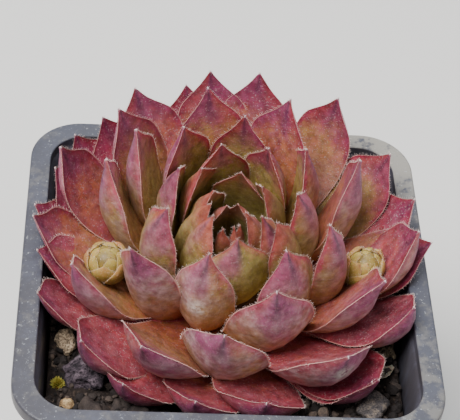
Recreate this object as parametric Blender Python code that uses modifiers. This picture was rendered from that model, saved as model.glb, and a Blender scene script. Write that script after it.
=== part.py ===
"""Potted houseleek: one large rosette with two small offsets, in a square nursery pot filled with grit.

Units are metres, +Z is up, and the origin is the centre of the underside of the pot. The front is -Y.
Sizes of the plant are written in millimetres times MM, because a leaf is easiest to read that way.
"""
import math
import random

import bmesh
import bpy
import numpy as np
from mathutils import Matrix, Vector, noise

MM = 0.001
GAP = 0.3 * MM                      # air left between two pieces that rest on each other

# The pot: a square with rounded corners, drawn in to a flat lip at its mouth
POT_WIDTH = 80 * MM                 # across the lip, outside
POT_HEIGHT = 75 * MM
LIP_WIDTH = 4.2 * MM
LIP_CORNER = 10.5 * MM              # radius of the lip's outer corners
LIP_ROUNDING = 0.6 * MM             # the lip's outer edge
MOUTH_CORNER = 7.4 * MM
MOUTH_ROUNDING = 0.4 * MM           # the lip's inner edge
SKIRT_HEIGHT = 3 * MM               # the lip's short turned-down edge
WALL = 1.1 * MM
LEDGE_DEPTH = 2.6 * MM              # a small step in the wall, this far under the lip
LEDGE_WIDTH = 0.5 * MM
BASE_WIDTH = 57 * MM                # across the floor, inside
WALL_CORNER = 0.21                  # radius of the wall's corners, as a share of its half width
FLOOR_ROUNDING = 2.2 * MM           # the round edge between floor and wall
CORNER_STEPS = 5
DRAIN_RADIUS = 4 * MM
DRAIN_OFFSET = 16 * MM
DRAIN_SIDES = 16

# The growing medium: dark grit, dished under the plant and banked up against the walls
MEDIUM_CENTRE = POT_HEIGHT - 16.8 * MM
MEDIUM_EDGE = POT_HEIGHT - 10.4 * MM
DISH_RADII = (14 * MM, 37 * MM)     # the bank rises between these distances from the middle
MEDIUM_LUMPS = 0.7 * MM
LUMP_SIZE = 7 * MM
LUMPS_AT_CENTRE = 0.3               # share of the lumps' height that is left in the middle
MEDIUM_FOOT_INSET = 3 * MM          # the medium is drawn in at the floor, clear of the pot's round edge
MEDIUM_FOOT_RISE = 2.4 * MM
MEDIUM_SHARES = (1, 0.94, 0.88, 0.81, 0.73, 0.63, 0.5, 0.34, 0.17)   # sizes of the rings of its surface
MEDIUM_SIDE_STEPS = 5
GRIT_COUNT = 54
GRIT_RADII = (1.5 * MM, 2.9 * MM)
GRIT_STRETCH = (0.8, 1.15)          # a grain's half sizes, as shares of its radius
GRIT_SPACING = 0.8                  # least distance between two grains, as a share of their radii together
GRIT_CORNERS = 9                    # points of a grain's hull
GRIT_RISE = 0.05                    # how far a grain's middle lies over the ground, as a share of its radius
GRIT_FIELD = 31.6 * MM              # grains lie inside this half width
GRIT_CLEAR = 29 * MM                # and outside this distance, where the plant hides the ground
GRIT_CORNER_CUT = 5 * MM            # and clear of the pot's round corners
GRIT_SEED = 11

# The rosette: where its heart lies over the pot, and how far its stem leans to the front
ROSETTE_CENTRE = Vector((0.6, 3.2, 75)) * MM
LEAN_FORWARD = math.radians(9)
LEAN_SIDEWAYS = math.radians(-3)
STEM_RADIUS = 4 * MM
STEM_FOOT = -27 * MM
HOLE_CLEARANCE = 0.35 * MM
CORE_PROFILE = ((0, 3.5), (2, 3), (4.5, 0), (9.5, -6), (13, -11), (12, -12.6), (4, -14))
CORE_STEPS = 12

# Directions the leaves face round the stem, in degrees, the youngest leaf first
LEAF_AZIMUTHS = (
    42, 198, 300, 110, 295, 149, 42, 100, 131, 10, 115, 48, 346, 77, 245, 119, 179, 15, 137, 313, 97, 61,
    340, 41, 117, 82, 291, 210, 137, 157, 23, 265, 67, 98, 200, 331, 239, 130, 357, 310, 177, 224, 151, 331,
    56, 202, 80, 95, 119, 259, 185, 279, 14, 238, 154, 31, 168, 359, 130, 308, 102, 140, 311)

# How a leaf changes as it ages: (leaf numbers, values), in millimetres, degrees or shares of the leaf's chord
GROWTH = {
    "tip_radius": ((0, 4, 8, 12, 17, 21, 22, 27, 28, 31, 34, 37, 40, 44, 48, 49, 66),
                   (0.8, 3.4, 5.5, 9, 13, 15, 18.5, 22, 25, 28, 31, 34, 37.5, 38.7, 39, 37, 42)),
    "tip_height": ((0, 4, 8, 12, 17, 22, 27, 31, 34, 37, 41, 48, 49, 66),
                   (9.2, 10.4, 11.5, 13.7, 15.8, 17.6, 18.4, 16.5, 15, 13.2, 10.5, 10, 6.5, 4)),
    "root_radius": ((0, 10, 25, 66), (0.6, 2.8, 5.0, 5.5)),
    "root_height": ((0, 4, 10, 25, 66), (-2, -8, -10.5, -12, -12)),
    "root_slope": ((0, 3, 8, 25, 44, 50, 66), (70, 35, 15, 10, 8, 16, 20)),
    "tip_slope": ((0, 4, 10, 14, 20, 26, 31, 35, 40, 48, 50, 66),
                  (95, 112, 106, 102, 96, 88, 84, 79, 72, 64, 62, 50)),
    "root_handle": ((0, 5, 14, 27, 31, 40, 50, 66), (0.30, 0.36, 0.40, 0.42, 0.46, 0.50, 0.42, 0.38)),
    "tip_handle": ((0, 5, 14, 27, 34, 40, 66), (0.45, 0.55, 0.60, 0.52, 0.42, 0.38, 0.33)),
    "width": ((0, 3, 4, 12, 22, 26, 27, 34, 66), (3.0, 6.0, 11.5, 12.6, 12.6, 16.2, 14.4, 15.6, 15.2)),
    "thickness": ((0, 4, 12, 24, 40, 66), (1.4, 2.4, 3.6, 4.6, 4.6, 4.0)),
    "cup": ((0, 4, 12, 24, 66), (0.30, 0.30, 0.14, 0.06, 0.04)),
    "turn_to_front": ((0, 8, 14, 30, 36, 41, 66), (0, 12, 28, 27, 16, 3, 0)),
}
WIDEST = 0.62                       # share of a leaf's length at which it is widest
ROOT_SHARE = 0.38                   # a leaf's width at its root, as a share of its full width
UPPER_SHARE = 0.27                  # share of a leaf's thickness that bulges over its margins
KEEL_SIDES = (0.55, 0.30, 0.66)     # points beside the keel: shares of the half width, the cup and the depth
ENDS_SWELL = 0.6                    # thickness at the root, as a share of the full thickness
SWELL_ENDS = 0.9                    # the thickness swells and falls again over this share of the length
TIP_THINS = 0.7                     # past this share of the length the leaf thins towards its tip
TIP_THICKNESS = 0.2
ROLL = math.radians(4)              # leaves turn this much about their midribs, to one side or the other
ROLL_STEP = 7.3                     # radians between one leaf's roll and the next
LEAF_STATIONS = (0.0, 0.22, 0.45, 0.65, 0.82, 0.93)
YOUNG_STATIONS = (0.0, 0.4, 0.75, 0.93)
YOUNG_LEAVES = 6

# The offsets: closed buds of overlapping scales, each on a short runner that ends against the parent's core.
# centre and foot are (x, y, z) over the middle of the pot's mouth, in millimetres
OFFSETS = {
    "offset_left": {"centre": (-23.4, -1.2, 1.4), "foot": (-18.5, 3, -6.5), "radius": 4.6, "height": 4.9,
                    "scales": 11, "start": 20},
    "offset_right": {"centre": (26.8, -0.8, 1.7), "foot": (21.5, 4, -6.5), "radius": 4.5, "height": 6.0,
                     "scales": 12, "start": 75},
}
GOLDEN_ANGLE = math.radians(137.5)
BUD_LEAN = 0.35                     # a bud leans this share of the way to its runner's direction
BUD_CORE = 0.72                     # size of the closed heart, as a share of the bud
RUNNER_RADIUS = 1.2 * MM
RUNNER_SIDES = 8
SCALE_THICKNESS = 0.9 * MM
SCALE_SHELL = (0.74, 1.0)           # distance of the youngest and the oldest scale, as shares of the bud's size
SCALE_TIPS = (166, 122)             # how far they reach, in degrees from the bud's foot
SCALE_FEET = (35, 25)
SCALE_WIDTHS = (0.56, 0.82)         # their half widths, as shares of the bud's radius
SCALE_TAPERS = 0.45                 # past this share of its length a scale narrows to its tip
SCALE_TWIST = 0.35
SCALE_SPREAD = 1.05                 # most radians that a scale reaches to either side
SCALE_OUTLINE = ((-1, 0.55), (0, 1.0), (1, 0.55), (0, 0.0))     # side, and share of the thickness
SCALE_STATIONS = (0, 0.35, 0.7, 0.9)

# Loose pieces on the ground: place (x, y) and three half sizes, in millimetres
STONES = {
    "lava_stone": {"place": (-26.8, -20.4), "half": (3.4, 5.3, 3.2), "turn": 60, "corners": 16, "seed": 3},
    "pumice_left": {"place": (-30.6, -12.4), "half": (2.3, 3.6, 2.4), "turn": 20, "corners": 14, "seed": 5},
    "pumice_right": {"place": (32.0, -12.2), "half": (2.1, 2.8, 2.4), "turn": -15, "corners": 13, "seed": 8},
    "grey_pebble": {"place": (28.0, -25.6), "half": (4.1, 3.4, 2.6), "turn": 25, "corners": 15, "seed": 2},
    "tan_chip": {"place": (-29.9, -27.6), "half": (1.9, 1.5, 1.3), "turn": 40, "corners": 10, "seed": 9},
}
STONE_RISE = 0.35                   # height of a stone's middle over the ground, as a share of its half height
STONE_TURN = 0.35                   # radians that a corner of a stone may stray
STONE_PUSH = (0.86, 1.08)           # and how far out it may lie, as shares of the half sizes
DRY_LEAF_PLACE = Vector((30.4, -18.2)) * MM
DRY_LEAF_RISE = 0.9 * MM
DRY_LEAF_SIZE = (5.6 * MM, 2.6 * MM, 0.7 * MM)
DRY_LEAF_OUTLINE = ((0, 0.35), (0.3, 0.9), (0.65, 1.0), (1, 0.3))    # shares of length and half width
DRY_LEAF_ARCH = 0.16
DRY_LEAF_CURL = 0.25
DRY_LEAF_INNER = 0.9                # width of its upper face, as a share of the lower one's
DRY_LEAF_TURN = math.radians(35)
DRY_LEAF_TILT = math.radians(8)

FINISHES = {                        # base colour, roughness
    "pot": ((0.030, 0.034, 0.042), 0.5),
    "growing_medium": ((0.035, 0.030, 0.027), 0.95),
    "main_rosette": ((0.40, 0.14, 0.12), 0.45),
    "offset_left": ((0.42, 0.38, 0.16), 0.5),
    "offset_right": ((0.42, 0.38, 0.16), 0.5),
    "lava_stone": ((0.055, 0.045, 0.055), 0.9),
    "pumice_left": ((0.12, 0.10, 0.09), 0.9),
    "pumice_right": ((0.19, 0.16, 0.13), 0.9),
    "grey_pebble": ((0.09, 0.085, 0.08), 0.85),
    "tan_chip": ((0.30, 0.22, 0.14), 0.85),
    "dry_leaf": ((0.38, 0.29, 0.19), 0.8),
}


# Helpers shared by the pieces

def clear_scene():
    """Start from an empty file, without closing it."""
    for obj in list(bpy.data.objects):
        bpy.data.objects.remove(obj)


def new_collection(name):
    """Add a collection to the scene."""
    collection = bpy.data.collections.new(name)
    bpy.context.scene.collection.children.link(collection)
    return collection


def new_object(name, bm, collection, placing=None):
    """Turn a bmesh into an object of the collection, placed by a matrix."""
    bmesh.ops.recalc_face_normals(bm, faces=bm.faces)
    mesh = bpy.data.meshes.new(name)
    bm.to_mesh(mesh)
    bm.free()
    obj = bpy.data.objects.new(name, mesh)
    if placing:
        obj.matrix_world = placing
    collection.objects.link(obj)
    return obj


def loft(bm, rings, close_start=True, close_end=True, tip=None):
    """Skin rings that hold the same number of points, and close the ends with a face or a tip point."""
    rows = [[bm.verts.new(point) for point in ring] for ring in rings]
    count = len(rows[0])
    for low, high in zip(rows[:-1], rows[1:]):
        for i in range(count):
            j = (i + 1) % count
            bm.faces.new((low[i], low[j], high[j], high[i]))
    if close_start:
        bm.faces.new(list(reversed(rows[0])))
    if tip is not None:
        apex = bm.verts.new(tip)
        for i in range(count):
            bm.faces.new((rows[-1][i], rows[-1][(i + 1) % count], apex))
    elif close_end:
        bm.faces.new(rows[-1])
    return rows


def apply_modifiers(obj):
    """Keep what the modifiers make as the object's own mesh."""
    depsgraph = bpy.context.evaluated_depsgraph_get()
    mesh = bpy.data.meshes.new_from_object(obj.evaluated_get(depsgraph))
    obj.modifiers.clear()
    obj.data = mesh


def add_boolean(obj, operation, operand):
    """Add a Boolean modifier whose operand is an object or a whole collection."""
    modifier = obj.modifiers.new(operation.title(), "BOOLEAN")
    modifier.operation = operation
    modifier.solver = "EXACT"
    if isinstance(operand, bpy.types.Collection):
        modifier.operand_type = "COLLECTION"
        modifier.collection = operand
    else:
        modifier.object = operand


def fuse(obj, repeats):
    """Join every object of a collection to obj by one union, then remove the collection's objects."""
    add_boolean(obj, "UNION", repeats)
    apply_modifiers(obj)
    for part in list(repeats.objects):
        bpy.data.objects.remove(part)
    bpy.data.collections.remove(repeats)


def keep_main_body(obj):
    """Keep the body with the most faces: loose scraps are dropped, and hollows sealed inside are filled."""
    bm = bmesh.new()
    bm.from_mesh(obj.data)
    unseen = set(bm.faces)
    bodies = []
    while unseen:
        body = [unseen.pop()]
        for face in body:
            for edge in face.edges:
                for other in edge.link_faces:
                    if other in unseen:
                        unseen.remove(other)
                        body.append(other)
        bodies.append(body)
    bodies.sort(key=len)
    for scrap in bodies[:-1]:
        bmesh.ops.delete(bm, geom=scrap, context="FACES")
    bm.to_mesh(obj.data)
    bm.free()


def as_cutter(obj):
    """Mark an object as one that only cuts others."""
    obj.hide_render = True
    obj.display_type = "WIRE"
    return obj


def take_hull(bm):
    """Wrap the points of a bmesh in their convex hull, and drop the points that lie inside it."""
    hull = bmesh.ops.convex_hull(bm, input=bm.verts)
    inside = hull["geom_interior"] + hull["geom_unused"]
    spare = {item for item in inside if isinstance(item, bmesh.types.BMVert)}
    bmesh.ops.delete(bm, geom=list(spare), context="VERTS")
    return hull


def swollen_hull(name, source, collection):
    """The convex hull of a mesh, a little larger all round: the room that the piece needs in its neighbours."""
    bm = bmesh.new()
    bm.from_mesh(source.data)
    hull = take_hull(bm)
    kept = {item for item in hull["geom"] if isinstance(item, bmesh.types.BMFace)}
    bmesh.ops.delete(bm, geom=[face for face in bm.faces if face not in kept], context="FACES_ONLY")
    bmesh.ops.recalc_face_normals(bm, faces=bm.faces)
    bm.normal_update()
    moves = [(vert, vert.normal * HOLE_CLEARANCE * vert.calc_shell_factor()) for vert in bm.verts]
    for vert, move in moves:
        vert.co += move
    return as_cutter(new_object(name, bm, collection, source.matrix_world))


def finish_piece(obj):
    """Give the piece its own material."""
    colour, roughness = FINISHES[obj.name]
    material = bpy.data.materials.new(obj.name)
    material.use_nodes = True
    shader = material.node_tree.nodes["Principled BSDF"]
    shader.inputs["Base Color"].default_value = (*colour, 1)
    shader.inputs["Roughness"].default_value = roughness
    shader.inputs["Metallic"].default_value = 0
    obj.data.materials.clear()
    obj.data.materials.append(material)


# The pot

def rounded_square(half, corner, z, side_steps=1):
    """Points of a level square with round corners, counter-clockwise seen from above."""
    points = []
    for quarter in range(4):
        middle = math.radians(45 + 90 * quarter)
        outwards = Vector((math.copysign(1, math.cos(middle)), math.copysign(1, math.sin(middle))))
        centre = outwards * (half - corner)
        for step in range(CORNER_STEPS + 1):
            angle = middle + math.radians(90 * step / CORNER_STEPS - 45)
            points.append((centre.x + corner * math.cos(angle), centre.y + corner * math.sin(angle), z))
        along = Vector((-math.sin(angle), math.cos(angle))) * 2 * (half - corner)
        for step in range(1, side_steps):
            x, y = Vector(points[-step][:2]) + along * step / side_steps
            points.append((x, y, z))
    return points


def inner_wall(z):
    """Half width and corner radius of the pot's inner wall at a height below its ledge."""
    top = POT_WIDTH / 2 - LIP_WIDTH - LEDGE_WIDTH
    share = (z - WALL) / (POT_HEIGHT - LEDGE_DEPTH - WALL)
    half = BASE_WIDTH / 2 + (top - BASE_WIDTH / 2) * share
    return half, WALL_CORNER * half


def make_pot(parts, cutters):
    """The pot: its inner face grown into a wall, with a lip round the mouth and drain holes in the floor."""
    mouth = POT_WIDTH / 2 - LIP_WIDTH
    ledge_z = POT_HEIGHT - LEDGE_DEPTH
    ledge_half, ledge_corner = inner_wall(ledge_z)
    floor_half, floor_corner = inner_wall(WALL)
    foot_half, foot_corner = inner_wall(WALL + FLOOR_ROUNDING)
    halfway = FLOOR_ROUNDING * (1 - math.cos(math.radians(45)))
    rings = [
        rounded_square(floor_half - FLOOR_ROUNDING, floor_corner - FLOOR_ROUNDING / 2, WALL),
        rounded_square(foot_half - halfway, foot_corner, WALL + halfway),
        rounded_square(foot_half, foot_corner, WALL + FLOOR_ROUNDING),
        rounded_square(ledge_half, ledge_corner, ledge_z),
        rounded_square(mouth, MOUTH_CORNER, ledge_z + LEDGE_WIDTH),
        rounded_square(mouth, MOUTH_CORNER, POT_HEIGHT - MOUTH_ROUNDING),
        rounded_square(mouth + MOUTH_ROUNDING, MOUTH_CORNER + MOUTH_ROUNDING, POT_HEIGHT),
        rounded_square(POT_WIDTH / 2 - LIP_ROUNDING, LIP_CORNER - LIP_ROUNDING, POT_HEIGHT),
        rounded_square(POT_WIDTH / 2, LIP_CORNER, POT_HEIGHT - LIP_ROUNDING),
        rounded_square(POT_WIDTH / 2, LIP_CORNER, POT_HEIGHT - SKIRT_HEIGHT),
    ]
    bm = bmesh.new()
    loft(bm, rings, close_end=False)
    pot = new_object("pot", bm, parts)
    # The loft is the face that holds the grit: the wall grows away from it, outwards and downwards
    floor = min(pot.data.polygons, key=lambda face: face.center.z)
    shell = pot.modifiers.new("Wall", "SOLIDIFY")
    shell.thickness = WALL
    shell.offset = -1 if floor.normal.z > 0 else 1
    shell.use_even_offset = True
    for x in (-DRAIN_OFFSET, DRAIN_OFFSET):
        for y in (-DRAIN_OFFSET, DRAIN_OFFSET):
            bm = bmesh.new()
            bmesh.ops.create_cone(bm, cap_ends=True, segments=DRAIN_SIDES, radius1=DRAIN_RADIUS,
                                  radius2=DRAIN_RADIUS, depth=6 * WALL, matrix=Matrix.Translation((x, y, 0)))
            hole = as_cutter(new_object(f"drain_cutter_{len(cutters.objects)}", bm, cutters))
            add_boolean(pot, "DIFFERENCE", hole)
    return pot


# The growing medium and its stones

def ground_height(x, y):
    """Height of the grit's surface: dished under the plant, banked up to the walls, a little lumpy."""
    low, high = DISH_RADII
    share = min(max((math.hypot(x, y) - low) / (high - low), 0), 1)
    bank = share * share * (3 - 2 * share)
    lumps = noise.noise(Vector((x, y, 0)) / LUMP_SIZE) * MEDIUM_LUMPS * min(1, 2 * bank + LUMPS_AT_CENTRE)
    return MEDIUM_CENTRE + (MEDIUM_EDGE - MEDIUM_CENTRE) * bank + lumps


def hull_stone(name, half, corners, seed, collection, placing):
    """A broken stone: the convex hull of points spread over an ellipsoid, each pushed in or out a little."""
    draw = random.Random(seed)
    bm = bmesh.new()
    for i in range(corners):
        height = 1 - 2 * (i + 0.5) / corners
        angle = i * GOLDEN_ANGLE + draw.uniform(-STONE_TURN, STONE_TURN)
        ring = math.sqrt(1 - height * height)
        push = draw.uniform(*STONE_PUSH)
        direction = Vector((ring * math.cos(angle), ring * math.sin(angle), height))
        bm.verts.new(Vector(direction[k] * half[k] * push for k in range(3)))
    take_hull(bm)
    return new_object(name, bm, collection, placing)


def make_stones(parts):
    """The loose stones that can be told apart, each seated on the ground."""
    stones = []
    for name, stone in STONES.items():
        half = [size * MM for size in stone["half"]]
        place = Vector(stone["place"]) * MM
        centre = (*place, ground_height(*place) + STONE_RISE * half[2])
        placing = Matrix.Translation(centre) @ Matrix.Rotation(math.radians(stone["turn"]), 4, "Z")
        stones.append(hull_stone(name, half, stone["corners"], stone["seed"], parts, placing))
    return stones


def make_dry_leaf(parts):
    """A curled scrap of a dead leaf, lying on the grit."""
    length, width, thickness = DRY_LEAF_SIZE
    rings = []
    for share, broad in DRY_LEAF_OUTLINE:
        x = (share - 0.5) * length
        rise = DRY_LEAF_ARCH * length * (2 * share - 1) ** 2
        half = width / 2 * broad
        inner = half * DRY_LEAF_INNER
        edge = rise + DRY_LEAF_CURL * half
        top = edge + thickness
        rings.append([(x, -half, edge), (x, 0, rise - thickness / 2), (x, half, edge),
                      (x, inner, top), (x, 0, rise + thickness / 2), (x, -inner, top)])
    bm = bmesh.new()
    loft(bm, rings)
    centre = (*DRY_LEAF_PLACE, ground_height(*DRY_LEAF_PLACE) + DRY_LEAF_RISE)
    placing = (Matrix.Translation(centre) @ Matrix.Rotation(DRY_LEAF_TURN, 4, "Z")
               @ Matrix.Rotation(DRY_LEAF_TILT, 4, "Y"))
    return new_object("dry_leaf", bm, parts, placing)


def make_growing_medium(parts, cutters, loose):
    """The grit body with its grains fused on, a hole for the stem and a seat for every loose piece."""
    bottom = WALL + GAP
    rings = []
    for z in (bottom + MEDIUM_FOOT_RISE, MEDIUM_CENTRE):
        half, corner = inner_wall(z)
        rings.append(rounded_square(half - GAP, corner, z, MEDIUM_SIDE_STEPS))
    foot, foot_corner = inner_wall(bottom)
    rings.insert(0, rounded_square(foot - MEDIUM_FOOT_INSET, foot_corner, bottom, MEDIUM_SIDE_STEPS))
    half, corner = inner_wall(MEDIUM_EDGE)
    for share in MEDIUM_SHARES:
        outline = rounded_square((half - 2 * GAP) * share, corner * share, 0, MEDIUM_SIDE_STEPS)
        rings.append([(x, y, ground_height(x, y)) for x, y, _ in outline])
    bm = bmesh.new()
    loft(bm, rings)
    medium = new_object("growing_medium", bm, parts)

    grains = new_collection("grains")
    draw = random.Random(GRIT_SEED)
    places = [(Vector(stone["place"]) * MM, max(stone["half"][:2]) * MM) for stone in STONES.values()]
    places.append((DRY_LEAF_PLACE, DRY_LEAF_SIZE[0] / 2))
    while len(grains.objects) < GRIT_COUNT:
        spot = Vector((draw.uniform(-GRIT_FIELD, GRIT_FIELD), draw.uniform(-GRIT_FIELD, GRIT_FIELD)))
        radius = draw.uniform(*GRIT_RADII)
        in_corner = abs(spot.x) + abs(spot.y) > 2 * GRIT_FIELD - GRIT_CORNER_CUT
        crowded = any((spot - other).length < GRIT_SPACING * (radius + size) for other, size in places)
        if spot.length < GRIT_CLEAR or in_corner or crowded:
            continue
        places.append((spot, radius))
        number = len(grains.objects)
        half = [radius * draw.uniform(*GRIT_STRETCH) for _ in range(3)]
        sunk = ground_height(*spot) + GRIT_RISE * radius
        placing = Matrix.Translation((*spot, sunk)) @ Matrix.Rotation(draw.uniform(0, math.tau), 4, "Z")
        hull_stone(f"grain_{number}", half, GRIT_CORNERS, GRIT_SEED + number, grains, placing)
    fuse(medium, grains)

    seats = new_collection("seat_cutters")
    for piece in loose:
        swollen_hull(f"{piece.name}_seat", piece, seats)
    bm = bmesh.new()
    bmesh.ops.create_cone(bm, cap_ends=True, segments=CORE_STEPS, radius1=STEM_RADIUS + HOLE_CLEARANCE,
                          radius2=STEM_RADIUS + HOLE_CLEARANCE, depth=-STEM_FOOT,
                          matrix=Matrix.Translation((0, 0, STEM_FOOT / 2 - HOLE_CLEARANCE)))
    as_cutter(new_object("stem_hole", bm, seats, rosette_frame()))
    add_boolean(medium, "DIFFERENCE", seats)
    apply_modifiers(medium)
    keep_main_body(medium)
    for seat in list(seats.objects):
        cutters.objects.link(seat)
        seats.objects.unlink(seat)
    bpy.data.collections.remove(seats)
    return medium


# The rosette

def rosette_frame():
    """Places what is built round a level stem: it leans the stem and lifts it into the pot's mouth."""
    lean = Matrix.Rotation(LEAN_SIDEWAYS, 4, "Y") @ Matrix.Rotation(LEAN_FORWARD, 4, "X")
    return Matrix.Translation(ROSETTE_CENTRE) @ lean


def grown(name, number):
    """One of the values of GROWTH at a leaf's number."""
    ages, values = GROWTH[name]
    return float(np.interp(number, ages, values))


def midrib(number, t):
    """Point and direction of a leaf's midrib, in the upright plane (distance from the stem, height)."""
    root = Vector((grown("root_radius", number), grown("root_height", number))) * MM
    tip = Vector((grown("tip_radius", number), grown("tip_height", number))) * MM
    chord = (tip - root).length
    pulls = []
    for end in ("root", "tip"):
        slope = math.radians(grown(f"{end}_slope", number))
        pulls.append(Vector((math.cos(slope), math.sin(slope))) * chord * grown(f"{end}_handle", number))
    root_pull = root + pulls[0]
    tip_pull = tip - pulls[1]
    s = 1 - t
    point = s ** 3 * root + 3 * s * s * t * root_pull + 3 * s * t * t * tip_pull + t ** 3 * tip
    along = s * s * (root_pull - root) + 2 * s * t * (tip_pull - root_pull) + t * t * (tip - tip_pull)
    return point, along.normalized()


def breadth(t):
    """Width of a leaf along its length, as a share of its full width."""
    if t < WIDEST:
        return ROOT_SHARE + (1 - ROOT_SHARE) * math.sin(math.pi / 2 * t / WIDEST) ** 1.3
    return (1 - ((t - WIDEST) / (1 - WIDEST)) ** 2.6) ** 0.9


def leaf_section(number, t):
    """Six points round a leaf, like a lens: two margins, the crest of the upper face and a keeled lower face."""
    point, along = midrib(number, t)
    inward = Vector((-along.y, along.x))
    width = grown("width", number) * MM * breadth(t)
    half = width / 2
    swell = ENDS_SWELL + (1 - ENDS_SWELL) * math.sin(math.pi * min(t / SWELL_ENDS, 1))
    thin_tip = max(TIP_THICKNESS, 1 - max(0, (t - TIP_THINS) / (1 - TIP_THINS)) ** 2)
    depth = grown("thickness", number) * MM * swell * thin_tip
    curl = grown("cup", number) * width
    crest = depth * UPPER_SHARE
    keel = crest - depth
    azimuth = math.radians(LEAF_AZIMUTHS[number])
    to_front = math.radians(grown("turn_to_front", number)) * math.cos(azimuth) * (1 + math.sin(azimuth))
    roll = ROLL * math.sin(ROLL_STEP * number) - to_front
    beside, cupped, deep = KEEL_SIDES
    flank = cupped * curl + deep * keel
    outline = ((-half, curl), (0, crest), (half, curl),
               (beside * half, flank), (0, keel), (-beside * half, flank))
    turn = Matrix.Rotation(azimuth, 3, "Z")
    points = []
    for side, rise in outline:
        rolled = Matrix.Rotation(roll, 2) @ Vector((side, rise))
        plane = point + inward * rolled.y
        points.append(turn @ Vector((plane.x, rolled.x, plane.y)))
    return points


def make_leaf(number, collection):
    """One leaf, lofted through its sections to a point."""
    stations = YOUNG_STATIONS if number < YOUNG_LEAVES else LEAF_STATIONS
    tip, _ = midrib(number, 1)
    turn = Matrix.Rotation(math.radians(LEAF_AZIMUTHS[number]), 3, "Z")
    bm = bmesh.new()
    loft(bm, [leaf_section(number, t) for t in stations], tip=turn @ Vector((tip.x, 0, tip.y)))
    bmesh.ops.triangulate(bm, faces=bm.faces)
    return new_object(f"leaf_{number}", bm, collection, rosette_frame())


def make_core(parts):
    """The stem and the hidden heart that the leaves stand out of, turned from a half profile."""
    profile = [Vector((radius, 0, height)) * MM for radius, height in CORE_PROFILE]
    profile += [Vector((STEM_RADIUS, 0, STEM_FOOT)), Vector((0, 0, STEM_FOOT))]
    bm = bmesh.new()
    verts = [bm.verts.new(point) for point in profile]
    for upper, lower in zip(verts[:-1], verts[1:]):
        bm.edges.new((upper, lower))
    core = new_object("main_rosette", bm, parts, rosette_frame())
    turned = core.modifiers.new("Turn", "SCREW")
    turned.steps = turned.render_steps = CORE_STEPS
    turned.use_merge_vertices = True
    turned.merge_threshold = 0.01 * MM
    turned.use_normal_calculate = True
    return core


def make_rosette(parts, rooms):
    """All the leaves on their core, with room left for the offsets."""
    rosette = make_core(parts)
    leaves = new_collection("leaves")
    for number in range(len(LEAF_AZIMUTHS)):
        make_leaf(number, leaves)
    fuse(rosette, leaves)
    for room in rooms:
        add_boolean(rosette, "DIFFERENCE", room)
    apply_modifiers(rosette)
    keep_main_body(rosette)
    return rosette


# The offsets

def by_age(limits, age):
    """A value between that of the youngest scale (age 0) and that of the oldest (age 1)."""
    young, old = limits
    return young + (old - young) * age


def scale_section(offset, number, t):
    """Four points round a scale, which hugs the bud from its foot to the scale's own tip."""
    age = (number + 0.5) / offset["scales"]
    shell = by_age(SCALE_SHELL, age) * MM
    angle = math.radians(by_age((by_age(SCALE_FEET, age), by_age(SCALE_TIPS, age)), t))
    radius, height = offset["radius"] * shell, offset["height"] * shell
    azimuth = math.radians(offset["start"]) + number * GOLDEN_ANGLE + SCALE_TWIST * t
    taper = 1 - (max(0, t - SCALE_TAPERS) / (1 - SCALE_TAPERS)) ** 2.2
    half = offset["radius"] * MM * by_age(SCALE_WIDTHS, age) * taper
    points = []
    for side, lift in SCALE_OUTLINE:
        spread = side * min(half / (radius * math.sin(angle)), SCALE_SPREAD)
        stretch = 1 + (lift - 1) * SCALE_THICKNESS / radius
        points.append(Vector((radius * stretch * math.sin(angle) * math.cos(azimuth + spread),
                              radius * stretch * math.sin(angle) * math.sin(azimuth + spread),
                              -height * stretch * math.cos(angle))))
    return points


def make_offset(name, parts, cutters):
    """One closed bud on its runner. Returns the cutters of the room that it needs in the rosette."""
    offset = OFFSETS[name]
    centre = Vector(offset["centre"]) * MM + Vector((0, 0, POT_HEIGHT))
    foot = Vector(offset["foot"]) * MM + Vector((0, 0, POT_HEIGHT))
    track = (centre - foot).to_track_quat("Z", "Y").to_matrix().to_4x4()
    placing = Matrix.Translation(centre) @ Matrix.Identity(4).lerp(track, BUD_LEAN)

    bm = bmesh.new()
    bmesh.ops.create_uvsphere(bm, u_segments=10, v_segments=7, radius=1)
    half_sizes = Vector((offset["radius"], offset["radius"], offset["height"])) * BUD_CORE * MM
    bmesh.ops.scale(bm, verts=bm.verts, vec=half_sizes)
    bud = new_object(name, bm, parts, placing)
    scales = new_collection("scales")
    for number in range(offset["scales"]):
        sections = [scale_section(offset, number, t) for t in SCALE_STATIONS]
        tip = scale_section(offset, number, 1)[1]
        bm = bmesh.new()
        loft(bm, sections, tip=tip)
        bmesh.ops.triangulate(bm, faces=bm.faces)
        new_object(f"scale_{number}", bm, scales, placing)
    fuse(bud, scales)
    room = swollen_hull(f"{name}_room", bud, cutters)

    reach = (centre - foot).length
    along = Matrix.Translation((centre + foot) / 2) @ track
    runners = new_collection("runners")
    bm = bmesh.new()
    bmesh.ops.create_cone(bm, cap_ends=True, segments=RUNNER_SIDES, radius1=RUNNER_RADIUS,
                          radius2=RUNNER_RADIUS, depth=reach)
    new_object("runner", bm, runners, along)
    fuse(bud, runners)
    keep_main_body(bud)
    bm = bmesh.new()
    bmesh.ops.create_cone(bm, cap_ends=True, segments=RUNNER_SIDES, radius1=RUNNER_RADIUS + HOLE_CLEARANCE,
                          radius2=RUNNER_RADIUS + HOLE_CLEARANCE, depth=reach + 2 * HOLE_CLEARANCE)
    channel = as_cutter(new_object(f"{name}_channel", bm, cutters, along))
    return [room, channel]


def main():
    """Build every piece: the offsets first, because the rosette leaves room for them."""
    clear_scene()
    parts = new_collection("potted_houseleek")
    cutters = new_collection("cutters")
    make_pot(parts, cutters)
    rooms = []
    for name in OFFSETS:
        rooms += make_offset(name, parts, cutters)
    make_rosette(parts, rooms)
    loose = make_stones(parts) + [make_dry_leaf(parts)]
    make_growing_medium(parts, cutters, loose)
    for obj in parts.objects:
        finish_piece(obj)


main()
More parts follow.
